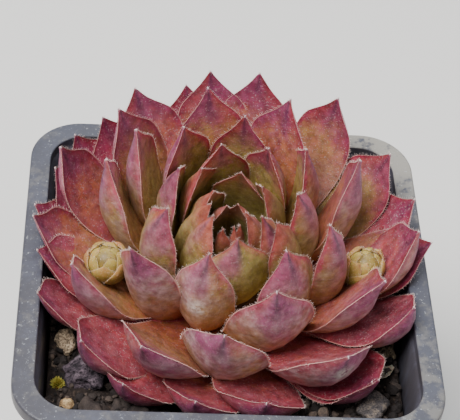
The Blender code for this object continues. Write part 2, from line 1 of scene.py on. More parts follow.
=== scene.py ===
# %% [markdown]
# A potted houseleek
#
# This lesson dresses a plain solid model of a houseleek in its nursery pot. The solids give every piece its
# place and its size. Each cell below takes one piece, says what it is on the real plant, and makes a finer
# one in its place: leaves with thin bright margins and hairs, buds of wrapped scales, broken grit, and a
# dusty plastic pot.

# %% Load the solid model
import math
import random

import bmesh
import bpy
import numpy as np
from mathutils import Matrix, Vector, noise


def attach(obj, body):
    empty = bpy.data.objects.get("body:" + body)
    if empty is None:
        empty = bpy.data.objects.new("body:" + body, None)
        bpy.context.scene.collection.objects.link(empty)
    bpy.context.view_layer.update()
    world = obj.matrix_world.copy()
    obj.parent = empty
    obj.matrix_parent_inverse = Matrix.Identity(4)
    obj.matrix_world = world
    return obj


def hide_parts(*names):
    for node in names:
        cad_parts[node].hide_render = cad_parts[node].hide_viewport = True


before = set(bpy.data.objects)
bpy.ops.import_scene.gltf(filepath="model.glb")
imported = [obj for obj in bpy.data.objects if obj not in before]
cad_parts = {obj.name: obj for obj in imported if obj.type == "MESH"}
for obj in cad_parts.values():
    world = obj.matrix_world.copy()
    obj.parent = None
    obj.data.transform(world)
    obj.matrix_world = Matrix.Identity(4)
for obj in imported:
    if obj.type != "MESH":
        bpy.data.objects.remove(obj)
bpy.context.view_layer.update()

MM = 0.001
BODY = "root"

# %% [markdown]
# The view
#
# The plant is seen from above its front edge, from about 32 cm away, with a long lens and the camera leaning
# a little. The camera is placed by those angles and by the point of the pot's mouth that it looks at.

# %% Camera
POT_HEIGHT = 75 * MM
CAMERA_TURN = math.radians(-6.285)
CAMERA_RISE = math.radians(45.26)
CAMERA_LEAN = math.radians(6.729)
CAMERA_DISTANCE = 312.5 * MM
VIEW_OFFSET = (0.643 * MM, 11.108 * MM)     # from the mouth's middle to the middle of the view, across and up
LENS = 124.65                   # focal length and sensor width in millimetres, as a camera has them
SENSOR = 36
CLIP_START = 10 * MM            # nothing nearer than this is drawn


def place_camera():
    back = Vector((math.sin(CAMERA_TURN) * math.cos(CAMERA_RISE),
                   -math.cos(CAMERA_TURN) * math.cos(CAMERA_RISE), math.sin(CAMERA_RISE)))
    level = Vector((math.cos(CAMERA_TURN), math.sin(CAMERA_TURN), 0))
    lean = Matrix.Rotation(CAMERA_LEAN, 3, back)
    across, up = lean @ level, lean @ back.cross(level)
    place = (Vector((0, 0, POT_HEIGHT)) + back * CAMERA_DISTANCE
             + across * VIEW_OFFSET[0] + up * VIEW_OFFSET[1])
    lens = bpy.data.cameras.new("view")
    lens.lens, lens.sensor_width, lens.clip_start = LENS, SENSOR, CLIP_START
    camera = bpy.data.objects.new("view", lens)
    bpy.context.scene.collection.objects.link(camera)
    camera.matrix_world = Matrix.Translation(place) @ Matrix((across, up, back)).transposed().to_4x4()
    bpy.context.scene.camera = camera
    print("camera at, mm:", [round(value / MM) for value in place])


place_camera()

# %% [markdown]
# Light
#
# Overcast daylight is what shows a waxy leaf best: a wide soft source over the left shoulder, a weaker one
# from the right, one from behind, and a little light from all round.

# %% Light
SOFT_LIGHTS = {     # place in metres, size in metres, power in watts, colour
    "sky_left": ((-0.30, -0.12, 0.75), 0.4, 11.0, (1.0, 0.99, 0.97)),
    "sky_back": ((0.15, 0.55, 0.65), 0.45, 3.5, (0.94, 0.97, 1.0)),
    "fill_right": ((0.55, -0.35, 0.35), 0.5, 1.6, (1.0, 0.97, 0.94)),
}
AROUND = (0.80, 0.84, 0.90)
AROUND_STRENGTH = 0.46


def light_room():
    for name, (place, size, power, colour) in SOFT_LIGHTS.items():
        lamp = bpy.data.lights.new(name, "AREA")
        lamp.size, lamp.energy, lamp.color = size, power, colour
        holder = bpy.data.objects.new(name, lamp)
        bpy.context.scene.collection.objects.link(holder)
        aim = Vector(place) - Vector((0, 0, POT_HEIGHT))
        holder.matrix_world = Matrix.Translation(place) @ aim.to_track_quat("Z", "Y").to_matrix().to_4x4()
    world = bpy.data.worlds.new("soft daylight")
    world.use_nodes = True
    background = world.node_tree.nodes["Background"]
    background.inputs["Color"].default_value = (*AROUND, 1)
    background.inputs["Strength"].default_value = AROUND_STRENGTH
    bpy.context.scene.world = world


light_room()
print("lights:", ", ".join(SOFT_LIGHTS))

# %% [markdown]
# Shader and geometry maths as Python
#
# A node tree is easier to read as an expression. `Wire` wraps an output socket, so that `wire * 2 + 1` adds
# its Math nodes by itself, and `Tree.node` makes any other node: its settings first, then the values or wires
# that its sockets take. The same two classes serve materials and Geometry Nodes. A few more helpers turn
# points, numbers and colours into what Blender takes.


# %% Wires and trees
class Wire:
    """An output socket that can stand in a Python expression."""

    def __init__(self, tree, socket):
        self.tree = tree
        self.socket = socket

    def __add__(self, other):
        return self.tree.maths("ADD", self, other)

    def __sub__(self, other):
        return self.tree.maths("SUBTRACT", self, other)

    def __rsub__(self, other):
        return self.tree.maths("SUBTRACT", other, self)

    def __mul__(self, other):
        return self.tree.maths("MULTIPLY", self, other)

    def __rtruediv__(self, other):
        return self.tree.maths("DIVIDE", other, self)

    def __abs__(self):
        return self.tree.maths("ABSOLUTE", self)

    __radd__ = __add__
    __rmul__ = __mul__


class Tree:
    """A node tree under construction, of a material or of Geometry Nodes."""

    def __init__(self, tree):
        self.tree = tree

    def node(self, kind, settings=None, sockets=None, out=0):
        """Add a node: settings first, then values or wires for its sockets. Gives back one output."""
        node = self.tree.nodes.new(kind)
        for name, value in (settings or {}).items():
            if name == "stops":
                self.fill_ramp(node.color_ramp, value)
            else:
                setattr(node, name, value)
        for key, value in (sockets or {}).items():
            if isinstance(value, Wire):
                self.tree.links.new(value.socket, node.inputs[key])
            else:
                node.inputs[key].default_value = value
        return Wire(self, node.outputs[out])

    @staticmethod
    def fill_ramp(ramp, stops):
        """Give a colour ramp its stops: pairs of a place and a colour."""
        while len(ramp.elements) < len(stops):
            ramp.elements.new(1)
        for element, (place, colour) in zip(ramp.elements, stops):
            element.position = place
            element.color = colour

    def maths(self, operation, *values):
        return self.node("ShaderNodeMath", {"operation": operation}, dict(enumerate(values)))

    def clamp(self, value):
        return self.node("ShaderNodeMath", {"operation": "ADD", "use_clamp": True}, {0: value, 1: 0})

    def rise(self, value, low, high):
        """0 below low, 1 above high, and a smooth slope between."""
        return self.node("ShaderNodeMapRange", {"interpolation_type": "SMOOTHSTEP"},
                         {0: value, 1: low, 2: high})

    def noise(self, where, size, detail=2, rough=0.5):
        """Clouds about `size` metres wide, of values round 0.5."""
        return self.node("ShaderNodeTexNoise", None,
                         {"Vector": where, "Scale": 1 / size, "Detail": detail, "Roughness": rough})

    def attribute(self, name):
        """A number that the mesh carries at its points."""
        return self.node("ShaderNodeAttribute", {"attribute_name": name}, out="Fac")

    def part(self, vector, axis):
        """One number of a vector."""
        return self.node("ShaderNodeSeparateXYZ", None, {0: vector}, out=axis)


class Finish(Tree):
    """A material whose Principled shader is fed by wires."""

    def __init__(self, name, **constants):
        self.material = bpy.data.materials.new(name)
        self.material.use_nodes = True
        super().__init__(self.material.node_tree)
        self.shader = self.tree.nodes["Principled BSDF"]
        for socket, value in constants.items():
            self.shader.inputs[socket.replace("_", " ")].default_value = value
        self.place = self.node("ShaderNodeTexCoord", out="Object")

    def feed(self, socket, wire):
        self.tree.links.new(wire.socket, self.shader.inputs[socket])

    def mix(self, low, high, factor, blend="MIX"):
        """One colour laid over another by a factor from 0 to 1."""
        # a Mix node takes its colours at its sockets 6 and 7, and gives a colour at its output 2
        return self.node("ShaderNodeMix", {"data_type": "RGBA", "blend_type": blend},
                         {0: factor, 6: low, 7: high}, out=2)

    def ramp(self, value, stops):
        """A colour looked up by a value from 0 to 1."""
        return self.node("ShaderNodeValToRGB", {"stops": stops}, {"Fac": value})

    def squeeze(self, share):
        """The place, with heights drawn together, so that a texture turns into upright lines."""
        return self.node("ShaderNodeMapping", None, {"Vector": self.place, "Scale": (1, 1, share)})

    def bump(self, height, distance, strength):
        """Raise the surface by a height from 0 to 1 over a distance in metres."""
        normal = self.node("ShaderNodeBump", None,
                           {"Height": height, "Distance": distance, "Strength": strength})
        self.feed("Normal", normal)


def light_from_screen(value):
    """A screen's brightness, 0 to 255, as the linear light that shaders use, by the standard curve."""
    share = value / 255
    return share / 12.92 if share <= 0.04045 else ((share + 0.055) / 1.055) ** 2.4


def paint(red, green, blue):
    """A colour as a screen shows it, turned to linear light."""
    return (*(light_from_screen(value) for value in (red, green, blue)), 1)


def shades(*rows):
    """Stops of a colour ramp, from rows of a place and a colour as a screen shows it."""
    return [(place, paint(*colour)) for place, *colour in rows]


def new_piece(name, mesh, finish=None, rounded=True):
    """Show a mesh as a piece at the origin. Without a finish it keeps the material that it has."""
    piece = bpy.data.objects.new(name, mesh)
    bpy.context.scene.collection.objects.link(piece)
    if finish is not None:
        mesh.materials.clear()
        mesh.materials.append(finish.material)
    if rounded:
        mesh.shade_smooth()
    return piece


def mark_points(mesh, name, values):
    """Give a mesh a number, or a direction, at each of its points."""
    values = np.asarray(values, float)
    kind, key = ("FLOAT_VECTOR", "vector") if values.ndim == 2 else ("FLOAT", "value")
    mesh.attributes.new(name, kind, "POINT").data.foreach_set(key, values.ravel())


def mesh_from_bmesh(bm, name):
    mesh = bpy.data.meshes.new(name)
    bm.to_mesh(mesh)
    bm.free()
    return mesh


def mesh_from_modifiers(holder, name):
    """What an object's modifiers make of it, as a plain mesh. The object goes."""
    made = bpy.data.meshes.new_from_object(holder.evaluated_get(bpy.context.evaluated_depsgraph_get()))
    holder.modifiers.clear()
    bpy.data.objects.remove(holder)
    made.name = name
    return made


def carried(points, matrix):
    """Points moved by a 4 x 4 matrix, as an array."""
    matrix = np.array(matrix)
    return np.array(points) @ matrix[:3, :3].T + matrix[:3, 3]


def smooth(value, low, high):
    """0 below low, 1 above high, and a smooth slope between, for numbers and arrays."""
    share = np.clip((value - low) / (high - low), 0, 1)
    return share * share * (3 - 2 * share)


print("helpers ready")

# %% [markdown]
# How a houseleek leaf grows
#
# Leaves form one by one at the heart and are pushed outwards as they age. Leaf 0 is the youngest. Each
# property of a leaf, such as the place of its tip or its width, changes slowly with its number, so a few
# values between which the script draws straight lines describe all of them. The midrib is a Bezier curve in
# the upright plane through the stem. The rule began as the solid model's, so a fine leaf lies close to the
# plain one. The heart leaves, and the outer leaves that show most or would touch the pot's lip, have values
# of their own in place of the rule's.

# %% The rule of growth
ROSETTE_CENTRE = Vector((0.6, 3.2, POT_HEIGHT / MM)) * MM
LEAN_FORWARD = math.radians(9)
LEAN_SIDEWAYS = math.radians(-3)
LEAF_AZIMUTHS = (       # where each leaf points, in degrees round the stem
    42, 198, 300, 110, 295, 149, 42, 100, 131, 10, 115, 48, 346, 77, 245, 119, 179, 15, 137, 313, 97, 61,
    340, 41, 117, 82, 291, 210, 137, 157, 23, 265, 67, 98, 200, 331, 239, 130, 357, 310, 177, 224, 151, 331,
    56, 202, 80, 95, 119, 259, 185, 279, 14, 238, 154, 31, 168, 359, 130, 308, 102, 140, 311)
LEAVES = len(LEAF_AZIMUTHS)
GROWTH = {      # (leaf numbers, values): radii, heights, widths in millimetres, slopes and turns in degrees
    "tip_radius": ((0, 4, 8, 12, 17, 21, 22, 27, 28, 31, 34, 37, 40, 44, 48, 49, 66),
                   (0.8, 3.4, 5.5, 9, 13, 15, 18.5, 22, 25, 28, 31, 34, 37.5, 38.7, 39, 37, 42)),
    "tip_height": ((0, 4, 8, 12, 17, 22, 27, 31, 34, 37, 41, 48, 49, 66),
                   (9.2, 10.4, 11.5, 13.7, 15.8, 17.6, 18.4, 16.5, 15, 13.2, 10.5, 10, 6.5, 4)),
    "root_radius": ((0, 4, 10, 25, 66), (0.6, 2.4, 3.2, 5.0, 5.5)),
    "root_height": ((0, 4, 10, 25, 66), (-2, -8, -10.5, -12, -12)),
    "root_slope": ((0, 3, 8, 25, 44, 50, 66), (70, 35, 15, 10, 14, 18, 20)),
    "tip_slope": ((0, 4, 10, 14, 20, 26, 31, 35, 40, 48, 66),
                  (95, 112, 110, 108, 104, 94, 82, 76, 74, 74, 76)),
    "root_handle": ((0, 5, 14, 27, 31, 40, 50, 66), (0.30, 0.36, 0.40, 0.42, 0.46, 0.50, 0.42, 0.38)),
    "tip_handle": ((0, 5, 14, 27, 34, 40, 66), (0.45, 0.55, 0.60, 0.52, 0.42, 0.38, 0.33)),
    "width": ((0, 3, 4, 12, 22, 26, 27, 34, 66), (3.0, 6.0, 11.5, 12.6, 12.6, 16.2, 14.4, 15.6, 15.2)),
    "thickness": ((0, 4, 12, 24, 30, 46, 54, 66), (1.6, 3.4, 4.6, 5.2, 6.0, 5.8, 4.6, 4.0)),
    "cup": ((0, 4, 12, 24, 66), (0.26, 0.12, 0.10, 0.06, 0.04)),
    "tip_cup": ((0, 4, 16, 28, 66), (0.8, 0.2, 0.5, 1.4, 1.4)),
    "turn_to_front": ((0, 8, 14, 30, 36, 41, 66), (0, 12, 28, 27, 16, 3, 0)),
}
HEART = {       # azimuth, tip radius, tip height and width of the heart leaves, one by one
    0: (335, 1.9, 11.1, 3.4), 1: (225, 2.3, 11.0, 3.6), 2: (300, 1.1, 10.7, 3.4), 3: (58, 2.3, 14.4, 7.0),
    4: (281, 5.6, 13.4, 13.4), 5: (192, 3.6, 14.2, 9.6), 6: (355, 2.7, 14.5, 7.6), 7: (108, 2.7, 12.9, 7.2),
    8: (158, 4.3, 14.8, 9.0), 9: (350, 5.8, 14.4, 9.4), 10: (123, 6.1, 14.2, 9.6), 11: (42, 7.9, 15.4, 11.0),
    12: (346, 8.8, 14.0, 10.5), 13: (77, 8.3, 16.2, 12.0),
}
HEART_VALUES = ("azimuth", "tip_radius", "tip_height", "width")
OUTER = {       # own values of the outer leaves that do not follow the rule
    19: {"tip_radius": 14.3, "tip_height": 16.9, "width": 15.0}, 24: {"width": 14.5}, 25: {"width": 13.2},
    22: {"tip_radius": 19.0, "tip_height": 19.6, "width": 10.4, "tip_slope": 104},
    26: {"azimuth": 292, "tip_radius": 20.6, "tip_height": 16.3, "width": 17.2, "roll": -16,
         "root_slope": 26},
    27: {"width": 13.0, "roll": 14, "tip_slope": 72},
    31: {"azimuth": 266, "tip_radius": 28.5, "width": 17.2, "roll": -15, "tip_slope": 79},
    32: {"azimuth": 64, "tip_radius": 27.0, "tip_height": 18.6},
    34: {"tip_radius": 31.9, "tip_height": 13.2, "width": 14.2, "root_slope": 16},
    35: {"width": 14.8, "roll": 4, "tip_slope": 66},
    36: {"azimuth": 240, "tip_radius": 33.7, "tip_height": 14.0, "width": 18.2, "roll": -5, "tip_slope": 66},
    38: {"tip_radius": 36.0, "tip_height": 10.8, "tip_slope": 84},
    39: {"azimuth": 304, "tip_radius": 36.6, "tip_height": 12.2, "width": 18.6, "roll": -18, "tip_slope": 74},
    40: {"azimuth": 175, "tip_radius": 38.3, "tip_height": 8.4, "tip_slope": 74, "root_slope": 24,
         "thickness": 3.0},
    41: {"azimuth": 222, "tip_radius": 37.6, "tip_height": 9.2, "roll": -6, "tip_slope": 80,
         "root_slope": 22},
    42: {"width": 14.6, "roll": 10, "tip_slope": 84},
    43: {"azimuth": 333, "tip_radius": 38.2, "tip_height": 8.2, "roll": -8, "tip_slope": 86,
         "root_slope": 20},
    44: {"azimuth": 54, "tip_radius": 38.0, "tip_height": 11.2, "width": 14.2, "roll": -8, "tip_slope": 88},
    45: {"azimuth": 201, "tip_radius": 39.1, "tip_height": 8.0, "width": 14.2, "tip_slope": 78,
         "root_slope": 22, "thickness": 3.2},
    47: {"root_slope": 18}, 49: {"roll": -11, "tip_slope": 80},
    50: {"root_slope": 24, "tip_slope": 66, "thickness": 3.4},
    51: {"tip_radius": 37.0, "width": 17.2, "roll": -22, "tip_slope": 84},
    53: {"tip_slope": 84}, 55: {"tip_radius": 38.0, "tip_height": 7.2},
    56: {"root_slope": 22, "tip_slope": 68, "thickness": 3.2},
    57: {"root_slope": 27, "tip_slope": 64, "thickness": 3.0},
    59: {"azimuth": 310, "tip_height": 3.4, "tip_slope": 86},
    60: {"root_slope": 25, "tip_slope": 66, "thickness": 3.0},
}
OWN_FORM = {number: dict(zip(HEART_VALUES, values)) for number, values in HEART.items()} | OUTER


def grown(name, number):
    """One of the values of GROWTH at a leaf's number, or the leaf's own."""
    if name in OWN_FORM.get(number, ()):
        return OWN_FORM[number][name]
    ages, values = GROWTH[name]
    return float(np.interp(number, ages, values))


def leaf_azimuth(number):
    """Where a leaf points, as an angle round the stem."""
    return math.radians(OWN_FORM.get(number, {}).get("azimuth", LEAF_AZIMUTHS[number]))


def midrib(number, t):
    """Points of a leaf's midrib at the shares t of its length, as distance from the stem and height, and its
    directions there."""
    root = np.array((grown("root_radius", number), grown("root_height", number))) * MM
    tip = np.array((grown("tip_radius", number), grown("tip_height", number))) * MM
    chord = np.linalg.norm(tip - root)
    pulls = []
    for end in ("root", "tip"):
        slope = math.radians(grown(f"{end}_slope", number))
        pulls.append(np.array((math.cos(slope), math.sin(slope))) * chord * grown(f"{end}_handle", number))
    root_pull, tip_pull = root + pulls[0], tip - pulls[1]
    t = t[:, None]
    s = 1 - t
    point = s ** 3 * root + 3 * s * s * t * root_pull + 3 * s * t * t * tip_pull + t ** 3 * tip
    along = s * s * (root_pull - root) + 2 * s * t * (tip_pull - root_pull) + t * t * (tip - tip_pull)
    return point, along / np.linalg.norm(along, axis=1)[:, None]


print(LEAVES, "leaves from the heart outwards")

# %% [markdown]
# The form of one leaf
#
# A leaf is a plump lens. Both faces bulge, and between them runs a thin raised margin, which catches the
# light as a bright line. Near its end the outline draws in to a short point, the mucro. The leaf is lofted
# from rings of points, and each point carries what the material needs: how far along the leaf it lies, how
# far across, on which face, and how old the leaf is.

# %% Leaf form
STATIONS = 26                   # rings from root to tip
STATION_CROWDING = 1.3          # above 1 the rings crowd towards the tip
FACE_POINTS = 11                # points across each face
MARGIN_POINTS = 3               # points round each margin
FACE_REACH = 0.982              # a face ends here, as a share of the half width, and the margin begins
WIDEST = 0.60                   # share of the length at which a leaf is widest
ROOT_SHARE = 0.38               # width at the root, as a share of the full width
WIDENING = 1.3                  # how late the leaf widens from the root
NARROWING = (2.8, 0.8)          # how late, and how roundly, it narrows to the tip
OGEE = (0.82, 0.98, 0.50)       # between these shares of the length the tip draws in, by this much
ROOT_DEPTH = 0.6                # thickness at the root, as a share of the full thickness
SWELL_END = 0.9                 # share of the length at which the swelling of the middle ends
THINNING = (0.7, 0.3, 0.2)      # the tip thins from here, over this share of the length, to this thickness
UPPER_SHARE = 0.27              # share of the thickness that bulges upwards
CREST_ROUND = 2.2               # the higher, the flatter the upper face's middle
KEEL_ROUND = 1.8                # the same for the lower face
CUPPED_TIP = (0.5, 0.95)        # the tip's own cupping grows between these shares of the length
MARGIN_RADIUS = 0.06 * MM
MARGIN_SHOULDER = 0.2           # how far out the margin's upper and lower points stand, in margin radii
FULL_MARGIN_WIDTH = 1.2 * MM    # half width from which the margin has its full radius
MUCRO_LENGTH = 0.5 * MM
MUCRO_RADIUS = 0.14 * MM
MUCRO_DEPTH = 1.6               # thickness where the mucro begins, in mucro radii
NECK = 0.55                     # the last ring, half way along the mucro, as a share of the one before
NECK_PLACE = 1.03               # what that ring says of its place along the leaf
ROLL = math.radians(4)          # leaves are turned about their midribs by up to this
ROLL_STEP = 7.3                 # and this sends neighbours different ways
WAVE_SIZE = 3.6 * MM            # gentle unevenness of the skin
WAVE_HEIGHT = 0.10 * MM
WAVE_SEED = 4                   # without one, noise vectors differ from run to run


def breadth(t):
    """Width of a leaf along its length, as a share of its full width."""
    low = ROOT_SHARE + (1 - ROOT_SHARE) * np.sin(np.pi / 2 * np.minimum(t / WIDEST, 1)) ** WIDENING
    late, round_off = NARROWING
    high = (1 - np.clip((t - WIDEST) / (1 - WIDEST), 0, 1) ** late) ** round_off
    start, end, share = OGEE
    return np.where(t < WIDEST, low, high) * (1 - share * smooth(t, start, end))


def leaf_roll(number):
    """How far a leaf is turned about its midrib."""
    azimuth = leaf_azimuth(number)
    to_front = math.radians(grown("turn_to_front", number)) * math.cos(azimuth) * (1 + math.sin(azimuth))
    own = math.radians(OWN_FORM.get(number, {}).get("roll", 0))
    return ROLL * math.sin(ROLL_STEP * number) - to_front + own


def rosette_frame():
    """The rosette's own frame: its heart leans a little to the front and to one side."""
    lean = Matrix.Rotation(LEAN_SIDEWAYS, 4, "Y") @ Matrix.Rotation(LEAN_FORWARD, 4, "X")
    return Matrix.Translation(ROSETTE_CENTRE) @ lean


def section_points(half, curl, crest, keel, bead):
    """Side, rise, place across and face (1 upper, 0 lower) of the points round one ring."""
    u = FACE_REACH * np.sin(np.linspace(-math.pi / 2, math.pi / 2, FACE_POINTS))
    upper = [(half * x, curl * x * x + crest * (1 - abs(x) ** CREST_ROUND), x, 1) for x in u]
    lower = [(half * x, curl * x * x + keel * (1 - abs(x) ** KEEL_ROUND), x, 0) for x in u[::-1]]
    shoulder = half + MARGIN_SHOULDER * bead
    right = [(shoulder, curl + bead, 1, 0.75), (half + bead, curl, 1, 0.5), (shoulder, curl - bead, 1, 0.25)]
    left = [(-side, rise, -1, face) for side, rise, _, face in reversed(right)]
    return np.array(upper + right + lower + left)


def leaf_rings(number):
    """All the points of a leaf, ring by ring, with their place across and their face."""
    t = 1 - (1 - np.linspace(0, 1, STATIONS)) ** STATION_CROWDING
    point, along = midrib(number, t)
    half = np.maximum(grown("width", number) * MM / 2 * breadth(t), MUCRO_RADIUS)
    swell = ROOT_DEPTH + (1 - ROOT_DEPTH) * np.sin(np.pi * np.minimum(t / SWELL_END, 1))
    start, length, least = THINNING
    thin_tip = np.maximum(least, 1 - np.clip((t - start) / length, 0, 1) ** 2)
    depth = np.maximum(grown("thickness", number) * MM * swell * thin_tip, MUCRO_DEPTH * MUCRO_RADIUS)
    curl = grown("cup", number) * 2 * half * (1 + grown("tip_cup", number) * smooth(t, *CUPPED_TIP))
    crest = depth * UPPER_SHARE
    bead = MARGIN_RADIUS * np.minimum(1, half / FULL_MARGIN_WIDTH)
    rings = [section_points(*row) for row in zip(half, curl, crest, crest - depth, bead)]
    neck = rings[-1].copy()
    neck[:, :2] *= NECK
    rings.append(neck)
    centres = np.vstack((point, point[-1] + along[-1] * MUCRO_LENGTH * 0.5))
    ways = np.vstack((along, along[-1]))
    tip = point[-1] + along[-1] * MUCRO_LENGTH
    t = np.append(t, NECK_PLACE)
    return t, centres, ways, np.array(rings), tip


def place_ring(centres, ways, rings, roll, azimuth):
    """Turn flat rings into points in the pot: rolled about the midrib, then swung round the stem."""
    side = rings[..., 0] * math.cos(roll) - rings[..., 1] * math.sin(roll)
    rise = rings[..., 0] * math.sin(roll) + rings[..., 1] * math.cos(roll)
    inward = np.stack((-ways[:, 1], ways[:, 0]), 1)
    flat = centres[:, None, :] + inward[:, None, :] * rise[..., None]
    x = flat[..., 0] * math.cos(azimuth) - side * math.sin(azimuth)
    y = flat[..., 0] * math.sin(azimuth) + side * math.cos(azimuth)
    return carried(np.stack((x, y, flat[..., 1]), -1), rosette_frame())


class Bundle:
    """Collects closed tubes of rings, with numbers at their points, into one mesh."""

    def __init__(self):
        self.points, self.faces, self.marks = [], [], {}

    def add_tube(self, rings, tip, marks):
        """rings is (rows, points, 3). marks gives each name one number, or an array of rows x points."""
        rows, count = rings.shape[:2]
        first = len(self.points)
        self.points.extend(rings.reshape(-1, 3).tolist())
        self.points.append(list(tip))
        for row in range(rows - 1):
            for i in range(count):
                a, b = first + row * count + i, first + row * count + (i + 1) % count
                self.faces.append((a, b, b + count, a + count))
        self.faces.append(tuple(first + i for i in reversed(range(count))))
        apex, last = first + rows * count, first + (rows - 1) * count
        self.faces.extend((last + i, last + (i + 1) % count, apex) for i in range(count))
        for name, value in marks.items():
            values = np.broadcast_to(value, (rows, count)).reshape(-1)
            self.marks.setdefault(name, []).extend(values.tolist() + [float(values[-1])])

    def mesh(self, name):
        mesh = bpy.data.meshes.new(name)
        mesh.from_pydata(self.points, [], self.faces)
        for mark, values in self.marks.items():
            mark_points(mesh, mark, values)
        return mesh


print("one leaf has", (STATIONS + 1) * 2 * (FACE_POINTS + MARGIN_POINTS) + 1, "points")

# %% [markdown]
# The colours of a leaf, in numbers
#
# No two leaves of the plant are coloured alike. The heart is olive. Further out the skin turns khaki, then
# salmon, and wine red on the lowest leaves. Sun reddens the margins and the tips, cold turns the outer faces
# violet near the tip, and wax lays a pale frost over them. Five numbers from 0 to 1 hold this for each leaf:
# they follow its age, and the leaves that stand out have their own. A sixth number gives the hue at the
# leaf's root.

# %% Leaf colours
TINTS = {       # (leaf numbers, values) from the heart outwards
    "inner_skin": ((0, 13, 20, 28, 33, 44, 50, 62), (0.02, 0.06, 0.12, 0.32, 0.46, 0.54, 0.84, 0.94)),
    "outer_skin": ((0, 13, 20, 30, 40, 48, 55, 62), (0.02, 0.10, 0.20, 0.34, 0.44, 0.66, 0.84, 0.90)),
    "root_skin": ((0, 20, 33, 36, 47, 52, 62), (0.30, 0.52, 0.58, 0.42, 0.44, 0.70, 0.74)),
    "blush": ((0, 6, 14, 24, 36, 48, 62), (1.00, 0.80, 0.50, 0.45, 0.60, 0.75, 0.90)),
    "violet": ((0, 6, 14, 30, 44, 62), (0.05, 0.35, 0.85, 0.95, 0.85, 0.75)),
    "frost": ((0, 10, 18, 30, 42, 62), (0.10, 0.25, 0.45, 0.65, 0.60, 0.25)),
}
OWN_TINTS = {   # leaves that stand out from their neighbours
    "inner_skin": {24: 0.16, 25: 0.28, 28: 0.24, 29: 0.44, 30: 0.68, 32: 0.56, 34: 0.46, 35: 0.74, 36: 0.44,
                   38: 0.78, 39: 0.78, 40: 0.66, 41: 0.88, 42: 0.66, 43: 0.94, 45: 0.92, 47: 0.62, 55: 0.40,
                   57: 0.55},
    "outer_skin": {14: 0.46, 15: 0.05, 26: 0.46, 27: 0.40, 31: 0.40, 36: 0.32, 39: 0.70, 42: 0.30},
    "root_skin": {14: 0.66, 35: 0.60, 36: 0.56, 38: 0.55, 39: 0.74, 40: 0.16, 41: 0.80, 42: 0.76,
                  43: 0.80, 44: 0.60, 46: 0.60, 47: 0.60, 48: 0.60, 55: 0.22},
    "blush": {4: 0.35, 13: 0.40, 15: 0.55, 36: 0.80, 42: 0.80, 55: 0.80},
    "violet": {4: 1.0, 5: 0.55, 8: 0.0, 9: 1.0, 10: 0.1, 11: 0.1, 12: 0.1, 13: 0.3, 15: 0.1, 33: 1.0,
               48: 1.0},
    "frost": {14: 0.75, 26: 0.9, 27: 1.0, 31: 1.0, 34: 0.9, 35: 0.9, 36: 1.0, 39: 0.95},
}
MEAL = {        # mealy scars: place along and across the lower face, and half their size in both
    14: (0.70, -0.05, 0.050, 0.28), 35: (0.88, 0.25, 0.035, 0.20), 39: (0.86, 0.10, 0.045, 0.30),
}
LOWER_FACE = 0.3                # points whose face is below this lie underneath
LEAF_SEED = 4
MARGIN_RIDGES = (FACE_POINTS + 1, 2 * FACE_POINTS + 4)      # the outermost points in a ring, right and left


def leaf_tints(number):
    """The six numbers of a leaf's colours."""
    tints = {name: float(np.interp(number, *table)) for name, table in TINTS.items()}
    for name, own in OWN_TINTS.items():
        tints[name] = own.get(number, tints[name])
    return tints


def leaf_meal(number, t, across, face):
    """A soft spot on the lower face, from 0 to 1, for the leaves that have a mealy scar."""
    if number not in MEAL:
        return 0.0
    along, aside, length, width = MEAL[number]
    spot = np.exp(-((t[:, None] - along) / length) ** 2 - ((across - aside) / width) ** 2)
    return spot * (face < LOWER_FACE)


def make_leaves():
    """All the leaves of the rosette as one mesh, and the lines of their margins for the hairs."""
    leaves, margins = Bundle(), []
    draw = random.Random(LEAF_SEED)
    noise.seed_set(WAVE_SEED)
    for number in range(LEAVES):
        t, centres, ways, rings, tip = leaf_rings(number)
        azimuth, roll = leaf_azimuth(number), leaf_roll(number)
        points = place_ring(centres, ways, rings, roll, azimuth)
        for row in points[:-2]:
            for point in row:
                point += np.array(noise.noise_vector(Vector(point) / WAVE_SIZE)) * WAVE_HEIGHT
        apex = place_ring(tip[None], ways[-1:], np.zeros((1, 1, 2)), roll, azimuth)[0, 0]
        marks = {"along": t[:, None], "across": rings[..., 2], "face": rings[..., 3],
                 "rim": (np.abs(rings[..., 2]) >= 1).astype(float), "age": number / LEAVES,
                 "draw": draw.random(), "meal": leaf_meal(number, t, rings[..., 2], rings[..., 3]),
                 **leaf_tints(number)}
        leaves.add_tube(points, apex, marks)
        middle = place_ring(centres, ways, np.zeros((len(t), 1, 2)), roll, azimuth)[:, 0]
        for index in MARGIN_RIDGES:
            margins.append((t, points[:, index], points[:, index] - middle))
    mesh = leaves.mesh("rosette_leaves")
    mesh.flip_normals()
    return mesh, margins


leaf_mesh, leaf_margins = make_leaves()
print("rosette_leaves:", len(leaf_mesh.polygons), "faces")
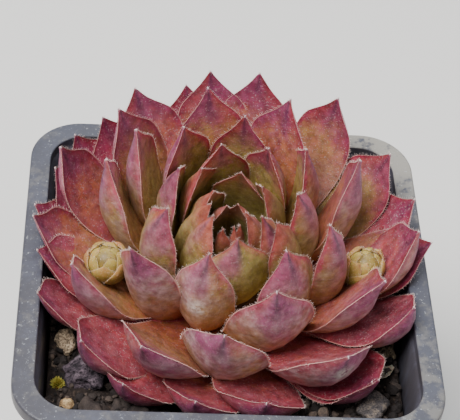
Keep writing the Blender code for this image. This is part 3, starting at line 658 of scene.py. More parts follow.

# %% [markdown]
# Leaf skin
#
# The colour is painted in layers, as on the real leaf. First comes the skin itself, from olive to wine by the
# leaf's own numbers, with a hue of its own at the root. Sun-red is laid over it from the tip downwards and
# along the margins, then a violet patch to one side of the tip with a dark smudge in it, then the pale wax,
# the specks and the mealy scars. The upper faces of the low leaves get painted shade, deepest towards the
# root, and last come the bright margin and the white point. Clouds of noise break up every edge, because
# nothing on a leaf ends in a straight line.

# %% Leaf finish
SKIN = shades((0.00, 158, 144, 62), (0.20, 164, 142, 60), (0.40, 174, 134, 70),
              (0.58, 180, 104, 64), (0.78, 158, 60, 68), (1.00, 130, 42, 68))
SUN_RED = shades((0.0, 180, 40, 60), (0.5, 164, 46, 74), (1.0, 128, 20, 44))
VIOLET = shades((0.0, 164, 66, 110), (0.6, 150, 70, 122), (1.0, 132, 42, 84))
SMUDGE = paint(80, 34, 70)
WAX = paint(204, 178, 176)
VELVET = paint(196, 150, 150)
GREY_GREEN = paint(176, 170, 118)
SCAR = paint(226, 216, 206)
MARGIN = paint(228, 176, 164)
POINT = paint(226, 206, 206)
SHADE = shades((0.30, 190, 180, 180), (0.68, 255, 255, 255))
ROOT_SHADE = paint(190, 170, 186)
PATCH_SIZE = 3.5 * MM           # widths of the clouds that break up the colours
BLOOM_SIZE = 2.8 * MM
SHADE_SIZE = 1.7 * MM
FLECK_SIZE = 0.8 * MM
SPECK_SIZE = 0.34 * MM
HEART_AGES = (0.10, 0.32)       # leaves count as young below the first age and no more above the second
LOW_AGES = (0.48, 0.60)         # and as low on the plant above these


def leaf_finish():
    skin = Finish("leaf skin", Subsurface_Weight=0.06, Subsurface_Scale=1.0 * MM, Specular_IOR_Level=0.5)
    along, across, face = (skin.attribute(name) for name in ("along", "across", "face"))
    draw, rim = skin.attribute("draw"), skin.attribute("rim")
    inner = skin.rise(face, 0.4, 0.6)
    patches = skin.noise(skin.place, PATCH_SIZE, 3) - 0.5
    flecks = skin.noise(skin.place, FLECK_SIZE, 4, 0.6) - 0.5
    edge = abs(across)
    young = 1 - skin.rise(skin.attribute("age"), *HEART_AGES)

    own = skin.attribute("outer_skin") * (1 - inner) + skin.attribute("inner_skin") * inner
    root = 1 - skin.rise(along + patches * 0.25, 0.30, 0.70)
    hue = own + (skin.attribute("root_skin") - own) * root * 0.9
    hue = skin.clamp(hue + patches * 0.34 + flecks * 0.30 + (draw - 0.5) * 0.10)
    colour = skin.ramp(hue, SKIN)

    blush = skin.attribute("blush")
    height = along + across * across * 0.12 + patches * 0.26 + flecks * 0.16
    sun = skin.rise(height - young * 0.04, 1.00 - blush * 0.46, 1.12 - blush * 0.24)
    sun_edge = skin.rise(edge + flecks * 0.3 - young * 0.12, 0.78, 1.0) * skin.rise(along, 0.45, 0.85) * 0.8
    red = skin.clamp(sun * 0.85 + sun_edge)
    colour = skin.mix(colour, skin.ramp(own, SUN_RED), red)

    aside = abs(across - (draw - 0.5) * 0.9) * (1 + young * 0.8)
    start = 0.60 + inner * 0.10
    cold = skin.rise(along + patches * 0.35 + flecks * 0.12, start, start + 0.24)
    cold = cold * (1 - skin.rise(aside + flecks * 0.4, 0.40, 1.1))
    cold = cold * skin.attribute("violet") * (1 - inner * 0.35)
    colour = skin.mix(colour, skin.ramp(own, VIOLET), skin.clamp(cold * 0.95))
    smudge = skin.rise(along + flecks * 0.14, 0.76, 0.94) * (1 - skin.rise(edge + flecks * 0.4, 0.02, 0.34))
    colour = skin.mix(colour, SMUDGE, skin.clamp(smudge * skin.attribute("violet") * (0.9 - inner * 0.25)))

    bloom = skin.rise(skin.noise(skin.place, BLOOM_SIZE, 4, 0.7), 0.34, 0.68)
    middle = skin.rise(along + patches * 0.3, 0.36, 0.66) * (1 - skin.rise(along, 0.76, 0.94) * 0.75)
    wax = (0.15 + bloom * 0.85) * skin.attribute("frost") * (0.84 - inner * 0.66) * middle
    colour = skin.mix(colour, WAX, skin.clamp(wax))
    colour = skin.mix(colour, VELVET, skin.clamp(0.03 + flecks * 0.5))
    colour = skin.mix(colour, GREY_GREEN, young * (0.12 + inner * 0.20 + patches * 0.2))
    specks = skin.rise(skin.noise(skin.place, SPECK_SIZE, 1), 0.60, 0.72)
    colour = skin.mix(colour, WAX, specks * (0.30 + inner * 0.16))
    mealy = skin.clamp(skin.attribute("meal") * skin.rise(flecks, -0.16, 0.04) * 1.3)
    colour = skin.mix(colour, SCAR, mealy)
    shade = skin.ramp(skin.noise(skin.place, SHADE_SIZE, 3, 0.6), SHADE)
    colour = skin.mix(colour, shade, 1.0, "MULTIPLY")
    # painted shade: the upper faces of the low leaves are darkened, most near the root, where the leaves
    # above shade them
    low_leaf_shade = inner * skin.rise(skin.attribute("age"), *LOW_AGES) * (1 - skin.rise(own, 0.66, 0.84))
    colour = skin.mix(colour, ROOT_SHADE, skin.clamp((0.55 + root * 0.45) * low_leaf_shade), "MULTIPLY")

    bright = rim * skin.rise(along, 0.12, 0.45) * (0.25 + skin.attribute("frost") * 0.5)
    colour = skin.mix(colour, MARGIN, bright)
    colour = skin.mix(colour, POINT, skin.rise(along, 0.99, 1.02) * (1 - young * 0.8))
    skin.feed("Base Color", colour)
    skin.feed("Roughness", 0.40 + bloom * 0.14 + flecks * 0.2)
    skin.bump(flecks + specks * 0.5, 0.14 * MM, 0.7)
    return skin


LEAF_SKIN = leaf_finish()
rosette = new_piece("rosette_leaves", leaf_mesh, LEAF_SKIN)
print("leaf skin has", len(LEAF_SKIN.tree.nodes), "nodes")

# %% [markdown]
# Hairs on the margins
#
# Each margin is fringed with short white hairs. Thousands of them follow lines, which is a task for Geometry
# Nodes: the margins become curves, points are set on them at one spacing, and a three-sided needle stands on
# each point, turned outwards and shaken a little. The lines carry their own outward direction, worked out
# with the leaves.

# %% Fringe of hairs
HAIR_FROM = 0.30                # the hairs begin at this share of a leaf's length
HAIR_LEAN = 0.6                 # how much they lean towards the tip
HAIR_SIDES = 3
HAIR_SIZES = (0.55, 1.25)       # each hair's size is drawn between these shares of the full one
LEAF_HAIRS = {"Spacing": 0.38 * MM, "Length": 0.58 * MM, "Radius": 0.036 * MM, "Seed": 3}


class Workshop(Tree):
    """A Geometry Nodes tree with named inputs, each a number with its usual value."""

    def __init__(self, name, inputs):
        group = bpy.data.node_groups.new(name, "GeometryNodeTree")
        super().__init__(group)
        group.interface.new_socket("Geometry", in_out="INPUT", socket_type="NodeSocketGeometry")
        for title, value in inputs.items():
            kind = "NodeSocketInt" if isinstance(value, int) else "NodeSocketFloat"
            group.interface.new_socket(title, in_out="INPUT", socket_type=kind).default_value = value
        group.interface.new_socket("Geometry", in_out="OUTPUT", socket_type="NodeSocketGeometry")
        self.entry = group.nodes.new("NodeGroupInput")

    def given(self, title):
        return Wire(self, self.entry.outputs[title])

    def named(self, name):
        """A direction that the geometry carries at its points."""
        return self.node("GeometryNodeInputNamedAttribute", {"data_type": "FLOAT_VECTOR"}, {"Name": name})

    def deliver(self, geometry, material):
        """End the tree: real faces, and their material."""
        real = self.node("GeometryNodeRealizeInstances", None, {"Geometry": geometry})
        dressed = self.node("GeometryNodeSetMaterial", None, {"Geometry": real, "Material": material})
        exit_node = self.tree.nodes.new("NodeGroupOutput")
        self.tree.links.new(dressed.socket, exit_node.inputs["Geometry"])


def run(workshop, name, mesh, values):
    """Run a tree on a mesh, with values for its inputs, and keep the result as a plain mesh."""
    holder = bpy.data.objects.new(name + "_source", mesh)
    bpy.context.scene.collection.objects.link(holder)
    modifier = holder.modifiers.new(name, "NODES")
    modifier.node_group = workshop.tree
    for item in workshop.tree.interface.items_tree:
        if item.in_out == "INPUT" and item.name in values:
            modifier[item.identifier] = values[item.name]
    return mesh_from_modifiers(holder, name)


def margin_lines(margins, name):
    """The margins as open lines that carry their outward direction."""
    points, edges, outward = [], [], []
    for t, line, side in margins:
        first = len(points)
        for share, point, away in zip(t, line, side):
            if share >= HAIR_FROM:
                points.append(point)
                outward.append(Vector(away).normalized())
        for i in range(1, len(points) - first):
            forward = (Vector(points[first + i]) - Vector(points[first + i - 1])).normalized()
            outward[first + i] = (outward[first + i] + forward * HAIR_LEAN).normalized()
        edges.extend((i, i + 1) for i in range(first, len(points) - 1))
    mesh = bpy.data.meshes.new(name)
    mesh.from_pydata(points, edges, [])
    mark_points(mesh, "outward", outward)
    return mesh


def hair_workshop(material):
    shop = Workshop("fringe of hairs", {"Spacing": 0.3 * MM, "Length": 0.5 * MM, "Radius": 0.03 * MM,
                                        "Shake": 0.5, "Seed": 1})
    line = shop.node("GeometryNodeMeshToCurve", None, {"Mesh": shop.given("Geometry")})
    dotted = shop.node("GeometryNodeResampleCurve", {"mode": "LENGTH"},
                       {"Curve": line, "Length": shop.given("Spacing")})
    needle = shop.node("GeometryNodeMeshCone", {"fill_type": "NGON"},
                       {"Vertices": HAIR_SIDES, "Radius Top": 0.0, "Radius Bottom": shop.given("Radius"),
                        "Depth": shop.given("Length")})
    shaken = shop.node("FunctionNodeRandomValue", {"data_type": "FLOAT_VECTOR"},
                       {0: (-1, -1, -1), 1: (1, 1, 1), "Seed": shop.given("Seed")})
    scaled = shop.node("ShaderNodeVectorMath", {"operation": "SCALE"},
                       {0: shaken, "Scale": shop.given("Shake")})
    way = shop.node("ShaderNodeVectorMath", {"operation": "ADD"},
                    {0: shop.named("outward"), 1: scaled})
    turn = shop.node("FunctionNodeAlignRotationToVector", {"axis": "Z"}, {"Vector": way})
    smallest, largest = HAIR_SIZES
    size = shop.node("FunctionNodeRandomValue", {"data_type": "FLOAT"},
                     {2: smallest, 3: largest, "Seed": shop.given("Seed")}, out=1)
    hairs = shop.node("GeometryNodeInstanceOnPoints", None,
                      {"Points": dotted, "Instance": needle, "Rotation": turn, "Scale": size})
    shop.deliver(hairs, material)
    return shop


def hair_finish():
    hair = Finish("white hair", Roughness=0.45, Specular_IOR_Level=0.5)
    tone = hair.noise(hair.place, 2 * MM)
    hair.feed("Base Color", hair.mix(paint(240, 222, 214), paint(214, 178, 172), tone))
    return hair


HAIR = hair_finish()
FRINGE = hair_workshop(HAIR.material)
leaf_lines = margin_lines(leaf_margins, "leaf_margins")
fringe = new_piece("leaf_fringe", run(FRINGE, "leaf_fringe", leaf_lines, LEAF_HAIRS))
print("leaf_fringe:", len(fringe.data.polygons), "faces")

# %% [markdown]
# The two offsets
#
# A young offset is a closed bud. Broad pale scales wrap round one another and leave a tiny star at the top.
# Each scale follows the surface of an egg: it starts low at the bud's foot, widens to half the way up, and
# narrows to a soft tip. The oldest scales lie outermost. A short runner joins the bud to the mother plant.

# %% Offsets
OFFSETS = {     # millimetres, with places from the middle of the pot's mouth; start is an angle in degrees
    "offset_left": {"centre": (-23.4, -1.2, 1.4), "foot": (-18.5, 3, -6.5), "radius": 4.6, "height": 4.9,
                    "scales": 11, "start": 20},
    "offset_right": {"centre": (26.8, -0.8, 1.7), "foot": (21.5, 4, -6.5), "radius": 4.5, "height": 6.0,
                     "scales": 12, "start": 75},
}
GOLDEN_ANGLE = math.radians(137.5)      # from one scale to the next, round the bud
GOLDEN_SHARE = 0.618            # the same step as a share of 1, for tones that never repeat
BUD_LEAN = 0.35                 # how far the bud leans after its runner, from 0 to 1
BUD_CORE = 0.72                 # size of the core under the scales, as a share of the bud
CORE_SIDES = 12
CORE_ANGLES = np.linspace(0.15, math.pi - 0.3, 9)       # the core's rings, from its foot to its top
RUNNER_RADIUS = 1.2 * MM
RUNNER_RINGS = 8
RUNNER_WAVES = (0.08, 9)        # how strongly and how fast the runner swells and shrinks
SCALE_THICKNESS = 0.9 * MM
SCALE_SHELL = (0.74, 1.0)       # share of the bud's size, for the youngest scale and for the oldest
SCALE_TIPS = (166, 122)         # the same for the tip's angle up from the bud's foot, in degrees,
SCALE_FEET = (35, 25)           # for the foot's angle,
SCALE_WIDTHS = (0.56, 0.82)     # and for the half width, as a share of the bud's radius
SCALE_TAPERS = 0.45             # from this share of its length a scale narrows
SCALE_TAPERING = 2.2            # how late it does so
SCALE_TIP_WIDTH = 0.06          # what is left of its width at the tip
SCALE_TWIST = 0.35              # how far a scale turns round the bud on its way up
SCALE_SPREAD = 1.05             # how far it may reach round the bud to either side
SCALE_FLARE = 0.09              # a scale's tip stands proud of the bud by this share of its radius
SCALE_FLARES = (0.55, 1.0)      # between these shares of its length
SCALE_HOLLOW = (0.45, 0.42)     # how far its outer and its inner face draw together towards its sides
SCALE_END = 0.985               # share of the length at which the last ring stands
SCALE_STATIONS = 16
SCALE_POINTS = 9
SCALE_FUZZ = {"Spacing": 0.18 * MM, "Length": 0.50 * MM, "Radius": 0.026 * MM, "Shake": 0.9, "Seed": 5}


def between(limits, share):
    """A value between two limits: the first at share 0, the second at share 1."""
    low, high = limits
    return low + (high - low) * share


def scale_point(offset, age, azimuth, t, side, lift):
    """A point on a scale: t from foot to tip, side from -1 to 1, lift from 0 inside to 1 outside."""
    shell = between(SCALE_SHELL, age) * MM
    angle = math.radians(between((between(SCALE_FEET, age), between(SCALE_TIPS, age)), t))
    radius, height = offset["radius"] * shell, offset["height"] * shell
    taper = 1 - (max(0, t - SCALE_TAPERS) / (1 - SCALE_TAPERS)) ** SCALE_TAPERING
    half = offset["radius"] * MM * between(SCALE_WIDTHS, age) * max(taper, SCALE_TIP_WIDTH)
    spread = side * min(half / (radius * math.sin(angle)), SCALE_SPREAD)
    turn = azimuth + SCALE_TWIST * t + spread
    flare = 1 + SCALE_FLARE * age * float(smooth(t, *SCALE_FLARES)) * (1 - 0.5 * side * side)
    stretch = flare + (lift - 1) * SCALE_THICKNESS / radius
    return (radius * stretch * math.sin(angle) * math.cos(turn),
            radius * stretch * math.sin(angle) * math.sin(turn), -height * stretch * math.cos(angle))


def make_bud(name):
    """The scales, core and runner of one offset, and the lines of the scales' margins."""
    offset = OFFSETS[name]
    centre = Vector(offset["centre"]) * MM + Vector((0, 0, POT_HEIGHT))
    foot = Vector(offset["foot"]) * MM + Vector((0, 0, POT_HEIGHT))
    track = (centre - foot).to_track_quat("Z", "Y").to_matrix().to_4x4()
    placing = Matrix.Translation(centre) @ Matrix.Identity(4).lerp(track, BUD_LEAN)
    bud, margins = Bundle(), []
    sides = np.sin(np.linspace(-math.pi / 2, math.pi / 2, SCALE_POINTS))
    outer, inner = SCALE_HOLLOW
    outline = [(side, 1 - outer * side * side) for side in sides]
    outline += [(side, inner * side * side) for side in sides[::-1][1:-1]]
    t = np.linspace(0, SCALE_END, SCALE_STATIONS)
    for number in range(offset["scales"]):
        age = (number + 0.5) / offset["scales"]
        azimuth = math.radians(offset["start"]) + number * GOLDEN_ANGLE
        rings = carried([[scale_point(offset, age, azimuth, share, side, lift) for side, lift in outline]
                         for share in t], placing)
        tip = carried(scale_point(offset, age, azimuth, 1.0, 0, 0.9), placing)
        marks = {"along": t[:, None], "across": np.array([side for side, _ in outline])[None],
                 "age": age, "draw": (number * GOLDEN_SHARE) % 1}
        bud.add_tube(rings, tip, marks)
        middle = rings[:, SCALE_POINTS // 2]
        for index in (0, SCALE_POINTS - 1):
            margins.append((t, rings[:, index], rings[:, index] - middle + 0.5 * (middle - np.array(centre))))
    angles = np.linspace(0, 2 * math.pi, CORE_SIDES, endpoint=False)
    ring = np.stack((np.cos(angles), np.sin(angles), 0 * angles), 1)
    egg = [ring * math.sin(a) * offset["radius"] - np.array((0, 0, math.cos(a) * offset["height"]))
           for a in CORE_ANGLES]
    core = carried(np.array(egg) * BUD_CORE * MM, placing)
    inside = {"along": 0.4, "across": 0.0, "age": 0.0, "draw": 0.5}
    bud.add_tube(core, core[-1].mean(0), inside)
    strength, pace = RUNNER_WAVES
    reach = (centre - foot).length
    runner = [ring * RUNNER_RADIUS * (1 + strength * math.sin(pace * share)) + np.array((0, 0, reach * share))
              for share in np.linspace(0, 1, RUNNER_RINGS)]
    runner = carried(runner, Matrix.Translation(foot) @ track)
    bud.add_tube(runner, runner[-1].mean(0), {**inside, "along": 0.1})
    return bud.mesh(name + "_bud"), margins


def bud_finish():
    scale = Finish("bud scale", Subsurface_Weight=0.12, Subsurface_Scale=1.0 * MM, Roughness=0.5)
    along, across, draw = (scale.attribute(name) for name in ("along", "across", "draw"))
    patches = scale.noise(scale.place, 2 * MM, 3) - 0.5
    streaks = scale.node("ShaderNodeTexWave", {"wave_type": "BANDS", "bands_direction": "X"},
                         {"Vector": scale.node("ShaderNodeCombineXYZ", None, {"X": across, "Y": along * 0.1}),
                          "Scale": 3.4, "Distortion": 2.0}, out=1)
    # painted shade: the colours run dark towards each scale's foot, where it tucks under the scales outside
    # it
    hue = scale.clamp(along * 0.8 + patches * 0.8 + (draw - 0.5) * 0.3)
    colour = scale.ramp(hue, shades((0.0, 70, 50, 22), (0.3, 126, 104, 44), (0.6, 176, 154, 78),
                                    (0.85, 192, 160, 92), (1.0, 188, 128, 88)))
    colour = scale.mix(colour, paint(150, 132, 62), streaks * 0.22)
    sunny = scale.rise(along + patches * 0.4, 0.62, 0.95) * scale.rise(scale.attribute("age"), 0.35, 0.95)
    colour = scale.mix(colour, paint(170, 96, 66), sunny * 0.55)
    rim = scale.rise(abs(across), 0.80, 0.98)
    colour = scale.mix(colour, paint(214, 190, 136), rim * 0.5)
    specks = scale.rise(scale.noise(scale.place, 0.3 * MM, 1), 0.62, 0.72)
    colour = scale.mix(colour, paint(240, 226, 196), specks * 0.4)
    scale.feed("Base Color", colour)
    scale.bump(streaks * 0.4 + specks, 0.12 * MM, 0.6)
    return scale


BUD_SCALE = bud_finish()
buds = {}
for bud_name in OFFSETS:
    bud_mesh, bud_margins = make_bud(bud_name)
    bud = new_piece(bud_name + "_scales", bud_mesh, BUD_SCALE)
    bud_lines = margin_lines(bud_margins, bud_name + "_lines")
    fuzz = new_piece(bud_name + "_fuzz", run(FRINGE, bud_name + "_fuzz", bud_lines, SCALE_FUZZ))
    buds[bud_name] = (bud, fuzz)
    print(bud.name, len(bud.data.polygons), "faces,", fuzz.name, len(fuzz.data.polygons), "faces")

# %% [markdown]
# The stem under the leaves
#
# Seen from the side, the lowest leaves stand on a short thick stem with the brown remains of leaves that have
# died. It is turned from a half profile, and its bark is ringed by small scars.

# %% Stem
STEM_RADIUS = 4 * MM
STEM_FOOT = -27 * MM
CORE_PROFILE = (                # radius and height in millimetres, from the top down
    (0, 1.5), (1.5, 1), (3.5, -2), (6.5, -7), (10.5, -12), (9.5, -13), (4, -14.2))
STEM_TOP = 0.56                 # the plain part of the stem begins at this share of its foot's depth
STEM_RINGS = 14
STEM_SIDES = 48
STEM_SCARS = (0.03, 5)          # how strongly, and how fast per millimetre, the bark swells and shrinks


def make_stem():
    """The stem and the core that the leaves grow from, turned from one profile."""
    outline = [Vector((radius, height)) * MM for radius, height in CORE_PROFILE[1:]]
    outline += [Vector((STEM_RADIUS, STEM_FOOT * share)) for share in np.linspace(STEM_TOP, 1, STEM_RINGS)]
    strength, pace = STEM_SCARS
    angles = np.linspace(0, 2 * math.pi, STEM_SIDES, endpoint=False)
    rings = []
    for radius, height in reversed(outline):
        swell = 1 + strength * math.sin(height / MM * pace)
        rings.append([(radius * swell * math.cos(a), radius * swell * math.sin(a), height) for a in angles])
    top = carried((0, 0, CORE_PROFILE[0][1] * MM), rosette_frame())
    stem = Bundle()
    stem.add_tube(carried(rings, rosette_frame()), top, {})
    return stem.mesh("stem")


def bark_finish():
    bark = Finish("stem bark", Roughness=0.9)
    cloud = bark.noise(bark.place, 1.5 * MM, 4)
    bark.feed("Base Color", bark.ramp(cloud, shades((0.3, 58, 40, 30), (0.7, 112, 84, 60))))
    bark.bump(cloud, 0.5 * MM, 0.7)
    return bark


stem = new_piece("stem", make_stem(), bark_finish())
print("stem:", len(stem.data.polygons), "faces")

# %% [markdown]
# The nursery pot
#
# The pot is one thin shell of dark moulded plastic. It is lofted in one go, along a path that starts under
# the floor, climbs the outside, goes over the lip, and comes down the inside. Each ring on that path is a
# square with round corners. The edges are rounded as a mould rounds them, and four drain holes go through the
# floor.

# %% Pot form
POT_WIDTH = 80 * MM
LIP_WIDTH = 4.2 * MM
LIP_CORNER = 10.5 * MM
LIP_ROUNDING = 0.6 * MM
MOUTH_CORNER = 7.4 * MM
MOUTH_ROUNDING = 0.4 * MM
SHOULDER_WIDTH = 1.2 * MM       # under the lip the wall turns outwards over this width
SHOULDER_DROP = 0.5 * MM        # and the skirt hangs from this far below
SKIRT_HEIGHT = 3 * MM
SKIRT_ROUNDING = 0.35 * MM
WALL = 1.1 * MM
LEDGE_DEPTH = 2.6 * MM
LEDGE_WIDTH = 0.5 * MM
LEDGE_BREAK = (0.06 * MM, 0.1 * MM)     # how far in, and how far down, the edge above the ledge is broken
BASE_WIDTH = 57 * MM
WALL_CORNER = 0.21              # corner radius of the wall, as a share of its half width
FLOOR_ROUNDING = 2.2 * MM
WALL_FOOT = 0.06                # the outer wall begins at this share of its height, above its rounded foot
WALL_STEPS = 12
CORNER_STEPS = 14
SIDE_STEPS = 6
DRAIN_RADIUS = 4 * MM
DRAIN_OFFSET = 16 * MM
DRAIN_SIDES = 40


def rounded_square(half, corner, z, corner_steps, side_steps):
    """Points of a level square with round corners, counter-clockwise seen from above."""
    points = []
    for quarter in range(4):
        middle = math.radians(45 + 90 * quarter)
        outwards = Vector((math.copysign(1, math.cos(middle)), math.copysign(1, math.sin(middle))))
        centre = outwards * (half - corner)
        for step in range(corner_steps + 1):
            angle = middle + math.radians(90 * step / corner_steps - 45)
            points.append((centre.x + corner * math.cos(angle), centre.y + corner * math.sin(angle), z))
        start = Vector(points[-1][:2])
        along = Vector((-math.sin(angle), math.cos(angle))) * 2 * (half - corner)
        for step in range(1, side_steps):
            x, y = start + along * step / side_steps
            points.append((x, y, z))
    return points


def inner_wall(z):
    """Half width and corner radius of the pot's inner wall at a height below its ledge."""
    top = POT_WIDTH / 2 - LIP_WIDTH - LEDGE_WIDTH
    share = (z - WALL) / (POT_HEIGHT - LEDGE_DEPTH - WALL)
    half = BASE_WIDTH / 2 + (top - BASE_WIDTH / 2) * share
    return half, WALL_CORNER * half


def round_edge(half, corner, z, radius, start, end, steps=5):
    """Rings round an edge: an arc of that radius about (half, z), from one angle to another, in degrees."""
    for step in range(steps + 1):
        angle = math.radians(start + (end - start) * step / steps)
        push = radius * math.cos(angle)
        yield half + push, corner + push, z + radius * math.sin(angle)


def pot_path():
    """(half width, corner radius, height) of the rings, from under the floor, over the lip, to the floor."""
    foot, foot_corner = inner_wall(WALL)
    outer_round = FLOOR_ROUNDING + WALL
    yield from round_edge(foot - FLOOR_ROUNDING, foot_corner - FLOOR_ROUNDING, outer_round,
                          outer_round, -90, -4)
    for share in np.linspace(WALL_FOOT, 1, WALL_STEPS):
        half, corner = inner_wall(share * (POT_HEIGHT - 2 * WALL))
        yield half + WALL, corner + WALL, share * (POT_HEIGHT - 2 * WALL)
    outer = POT_WIDTH / 2
    yield outer - WALL - SHOULDER_WIDTH, LIP_CORNER - WALL - SHOULDER_WIDTH, POT_HEIGHT - WALL
    yield outer - WALL, LIP_CORNER - WALL, POT_HEIGHT - WALL - SHOULDER_DROP
    low, ring = POT_HEIGHT - SKIRT_HEIGHT + SKIRT_ROUNDING, outer - WALL + SKIRT_ROUNDING
    yield from round_edge(ring, LIP_CORNER - WALL + SKIRT_ROUNDING, low, SKIRT_ROUNDING, 180, 270)
    yield from round_edge(outer - SKIRT_ROUNDING, LIP_CORNER - SKIRT_ROUNDING, low, SKIRT_ROUNDING, 270, 360)
    yield from round_edge(outer - LIP_ROUNDING, LIP_CORNER - LIP_ROUNDING, POT_HEIGHT - LIP_ROUNDING,
                          LIP_ROUNDING, 0, 90)
    mouth = outer - LIP_WIDTH
    yield from round_edge(mouth + MOUTH_ROUNDING, MOUTH_CORNER + MOUTH_ROUNDING, POT_HEIGHT - MOUTH_ROUNDING,
                          MOUTH_ROUNDING, 90, 180)
    ledge = POT_HEIGHT - LEDGE_DEPTH
    inwards, down = LEDGE_BREAK
    yield mouth, MOUTH_CORNER, ledge + LEDGE_WIDTH + down
    yield mouth - inwards, MOUTH_CORNER, ledge + LEDGE_WIDTH
    for share in np.linspace(1, 0, WALL_STEPS):
        half, corner = inner_wall(WALL + FLOOR_ROUNDING + share * (ledge - WALL - FLOOR_ROUNDING))
        yield half, corner, WALL + FLOOR_ROUNDING + share * (ledge - WALL - FLOOR_ROUNDING)
    yield from round_edge(foot - FLOOR_ROUNDING, foot_corner - FLOOR_ROUNDING, WALL + FLOOR_ROUNDING,
                          FLOOR_ROUNDING, -12, -90)


def make_pot():
    """The shell, lofted from its rings, with the drain holes drilled through its floor."""
    shell = Bundle()
    rings = np.array([rounded_square(*ring, CORNER_STEPS, SIDE_STEPS) for ring in pot_path()])
    shell.add_tube(rings, (0, 0, WALL), {})
    holder = new_piece("pot_shell", shell.mesh("pot_shell"))
    drills = []
    for x in (-DRAIN_OFFSET, DRAIN_OFFSET):
        for y in (-DRAIN_OFFSET, DRAIN_OFFSET):
            bm = bmesh.new()
            bmesh.ops.create_cone(bm, cap_ends=True, segments=DRAIN_SIDES, radius1=DRAIN_RADIUS,
                                  radius2=DRAIN_RADIUS, depth=6 * WALL, matrix=Matrix.Translation((x, y, 0)))
            drill = new_piece("drill", mesh_from_bmesh(bm, "drill"))
            cut = holder.modifiers.new("drill", "BOOLEAN")
            cut.operation, cut.solver, cut.object = "DIFFERENCE", "EXACT", drill
            drills.append(drill)
    made = mesh_from_modifiers(holder, "pot_shell")
    for drill in drills:
        bpy.data.objects.remove(drill)
    return made


pot_mesh = make_pot()
print("pot_shell:", len(pot_mesh.polygons), "faces")

# %% [markdown]
# Dusty plastic
#
# Outdoors a dark plastic pot greys from above: dust lies on the lip and grinds into its skin, and rain leaves
# pale rings where drops dried, most of all at the back right corner. The inner wall stays dark with a bluish
# bloom of lime, drawn into faint upright lines by the mould. All of it follows height and the way the surface
# faces. The dust is also painted thinner towards the front of the lip, as painted shade, so that the front
# reads darker.

# %% Pot finish
PLASTIC = paint(62, 59, 64)
INNER_BLOOM = paint(92, 94, 112)
DUST = paint(67, 72, 85)
WATER_MARK = paint(150, 146, 136)
LIP_SPECK = paint(170, 174, 178)
DUST_CLOUD = 9 * MM             # widths of the clouds in the dust, the water marks and the specks
MARK_CLOUD = 3.2 * MM
SPECK_CLOUD = 0.55 * MM
MOULD_LINE = 0.9 * MM           # width of the mould's upright lines
MOULD_STRETCH = 0.04            # how far heights are drawn together for them
SHARP_EDGE = math.radians(50)


def pot_finish():
    pot = Finish("dusty plastic", Specular_IOR_Level=0.45)
    x, y, z = (pot.part(pot.place, axis) for axis in "XYZ")
    up = pot.part(pot.node("ShaderNodeNewGeometry", out="Normal"), "Z")
    level = pot.rise(up, 0.35, 0.8) * pot.rise(z, POT_HEIGHT - 2 * MM, POT_HEIGHT - 0.3 * MM)
    fine = pot.noise(pot.place, 0.5 * MM, 3, 0.6)
    cloud = pot.noise(pot.place, DUST_CLOUD, 4, 0.6)
    lines = pot.noise(pot.squeeze(MOULD_STRETCH), MOULD_LINE, 3)
    streaks = pot.rise(cloud + (lines - 0.5) * 0.5, 0.36, 0.80)
    colour = pot.mix(PLASTIC, INNER_BLOOM, streaks * 0.40)
    # painted shade: the dust is shown thinner towards the front, so that the front of the lip reads darker
    lit_towards_back = 0.30 + pot.rise(x * 0.8 + y, -60 * MM, 40 * MM) * 0.55
    dust_and_front_shade = pot.clamp(level * (0.35 + cloud * 0.7) * lit_towards_back + pot.rise(up, 0.2, 0.9) * 0.10)
    colour = pot.mix(colour, DUST, dust_and_front_shade * 0.8)
    corner = pot.rise(x + y, 46 * MM, 72 * MM) + pot.rise(x - y, 40 * MM, 78 * MM) * 0.35
    stain = pot.rise(pot.noise(pot.place, MARK_CLOUD, 5, 0.65) + corner * 0.22, 0.50, 0.66) * level
    colour = pot.mix(colour, WATER_MARK, pot.clamp(stain * (0.18 + corner * 0.6)))
    speck = pot.rise(pot.noise(pot.place, SPECK_CLOUD, 2, 0.7), 0.62, 0.74) * level
    colour = pot.mix(colour, LIP_SPECK, speck * 0.5)
    pot.feed("Base Color", colour)
    pot.feed("Roughness", 0.38 + dust_and_front_shade * 0.35 + stain * 0.15)
    pot.bump(fine + lines * 0.5, 0.05 * MM, 0.6)
    return pot


POT_SKIN = pot_finish()
pot_piece = new_piece("pot_shell", pot_mesh, POT_SKIN)
pot_mesh.set_sharp_from_angle(angle=SHARP_EDGE)
print("pot skin has", len(POT_SKIN.tree.nodes), "nodes")

# %% [markdown]
# The ground
#
# The grit fills the pot to about a centimetre below the lip. It is dished under the plant and banked against
# the walls. One body carries its form, and the grains lie on it. The larger grains stand where the solid
# model has them, so the same draws are made in the same order. The small ones are strewn between by a second,
# finer draw.

# %% Ground form
GAP = 0.3 * MM                  # air between the grit and the pot
MEDIUM_CENTRE = POT_HEIGHT - 16.8 * MM
MEDIUM_EDGE = POT_HEIGHT - 10.4 * MM
DISH_RADII = (14 * MM, 37 * MM)         # the surface climbs between these distances from the middle
MEDIUM_LUMPS = 0.7 * MM
LUMP_SIZE = 7 * MM
LUMPS_AT_CENTRE = 0.3           # lumps in the middle of the dish, as a share of those at the walls
MEDIUM_FOOT_INSET = 3 * MM
MEDIUM_FOOT_RISE = 2.4 * MM
SURFACE_RINGS = 56
SURFACE_CORNER_STEPS = 5
SURFACE_SIDE_STEPS = 22
SMALLEST_RING = 0.02
CRUMB_SIZE = 1.1 * MM
CRUMB_HEIGHT = 0.45 * MM
CRUMB_NOISE = (0.8, 2.1, 4)     # how much finer, how much denser and how many the layers of the crumbs are


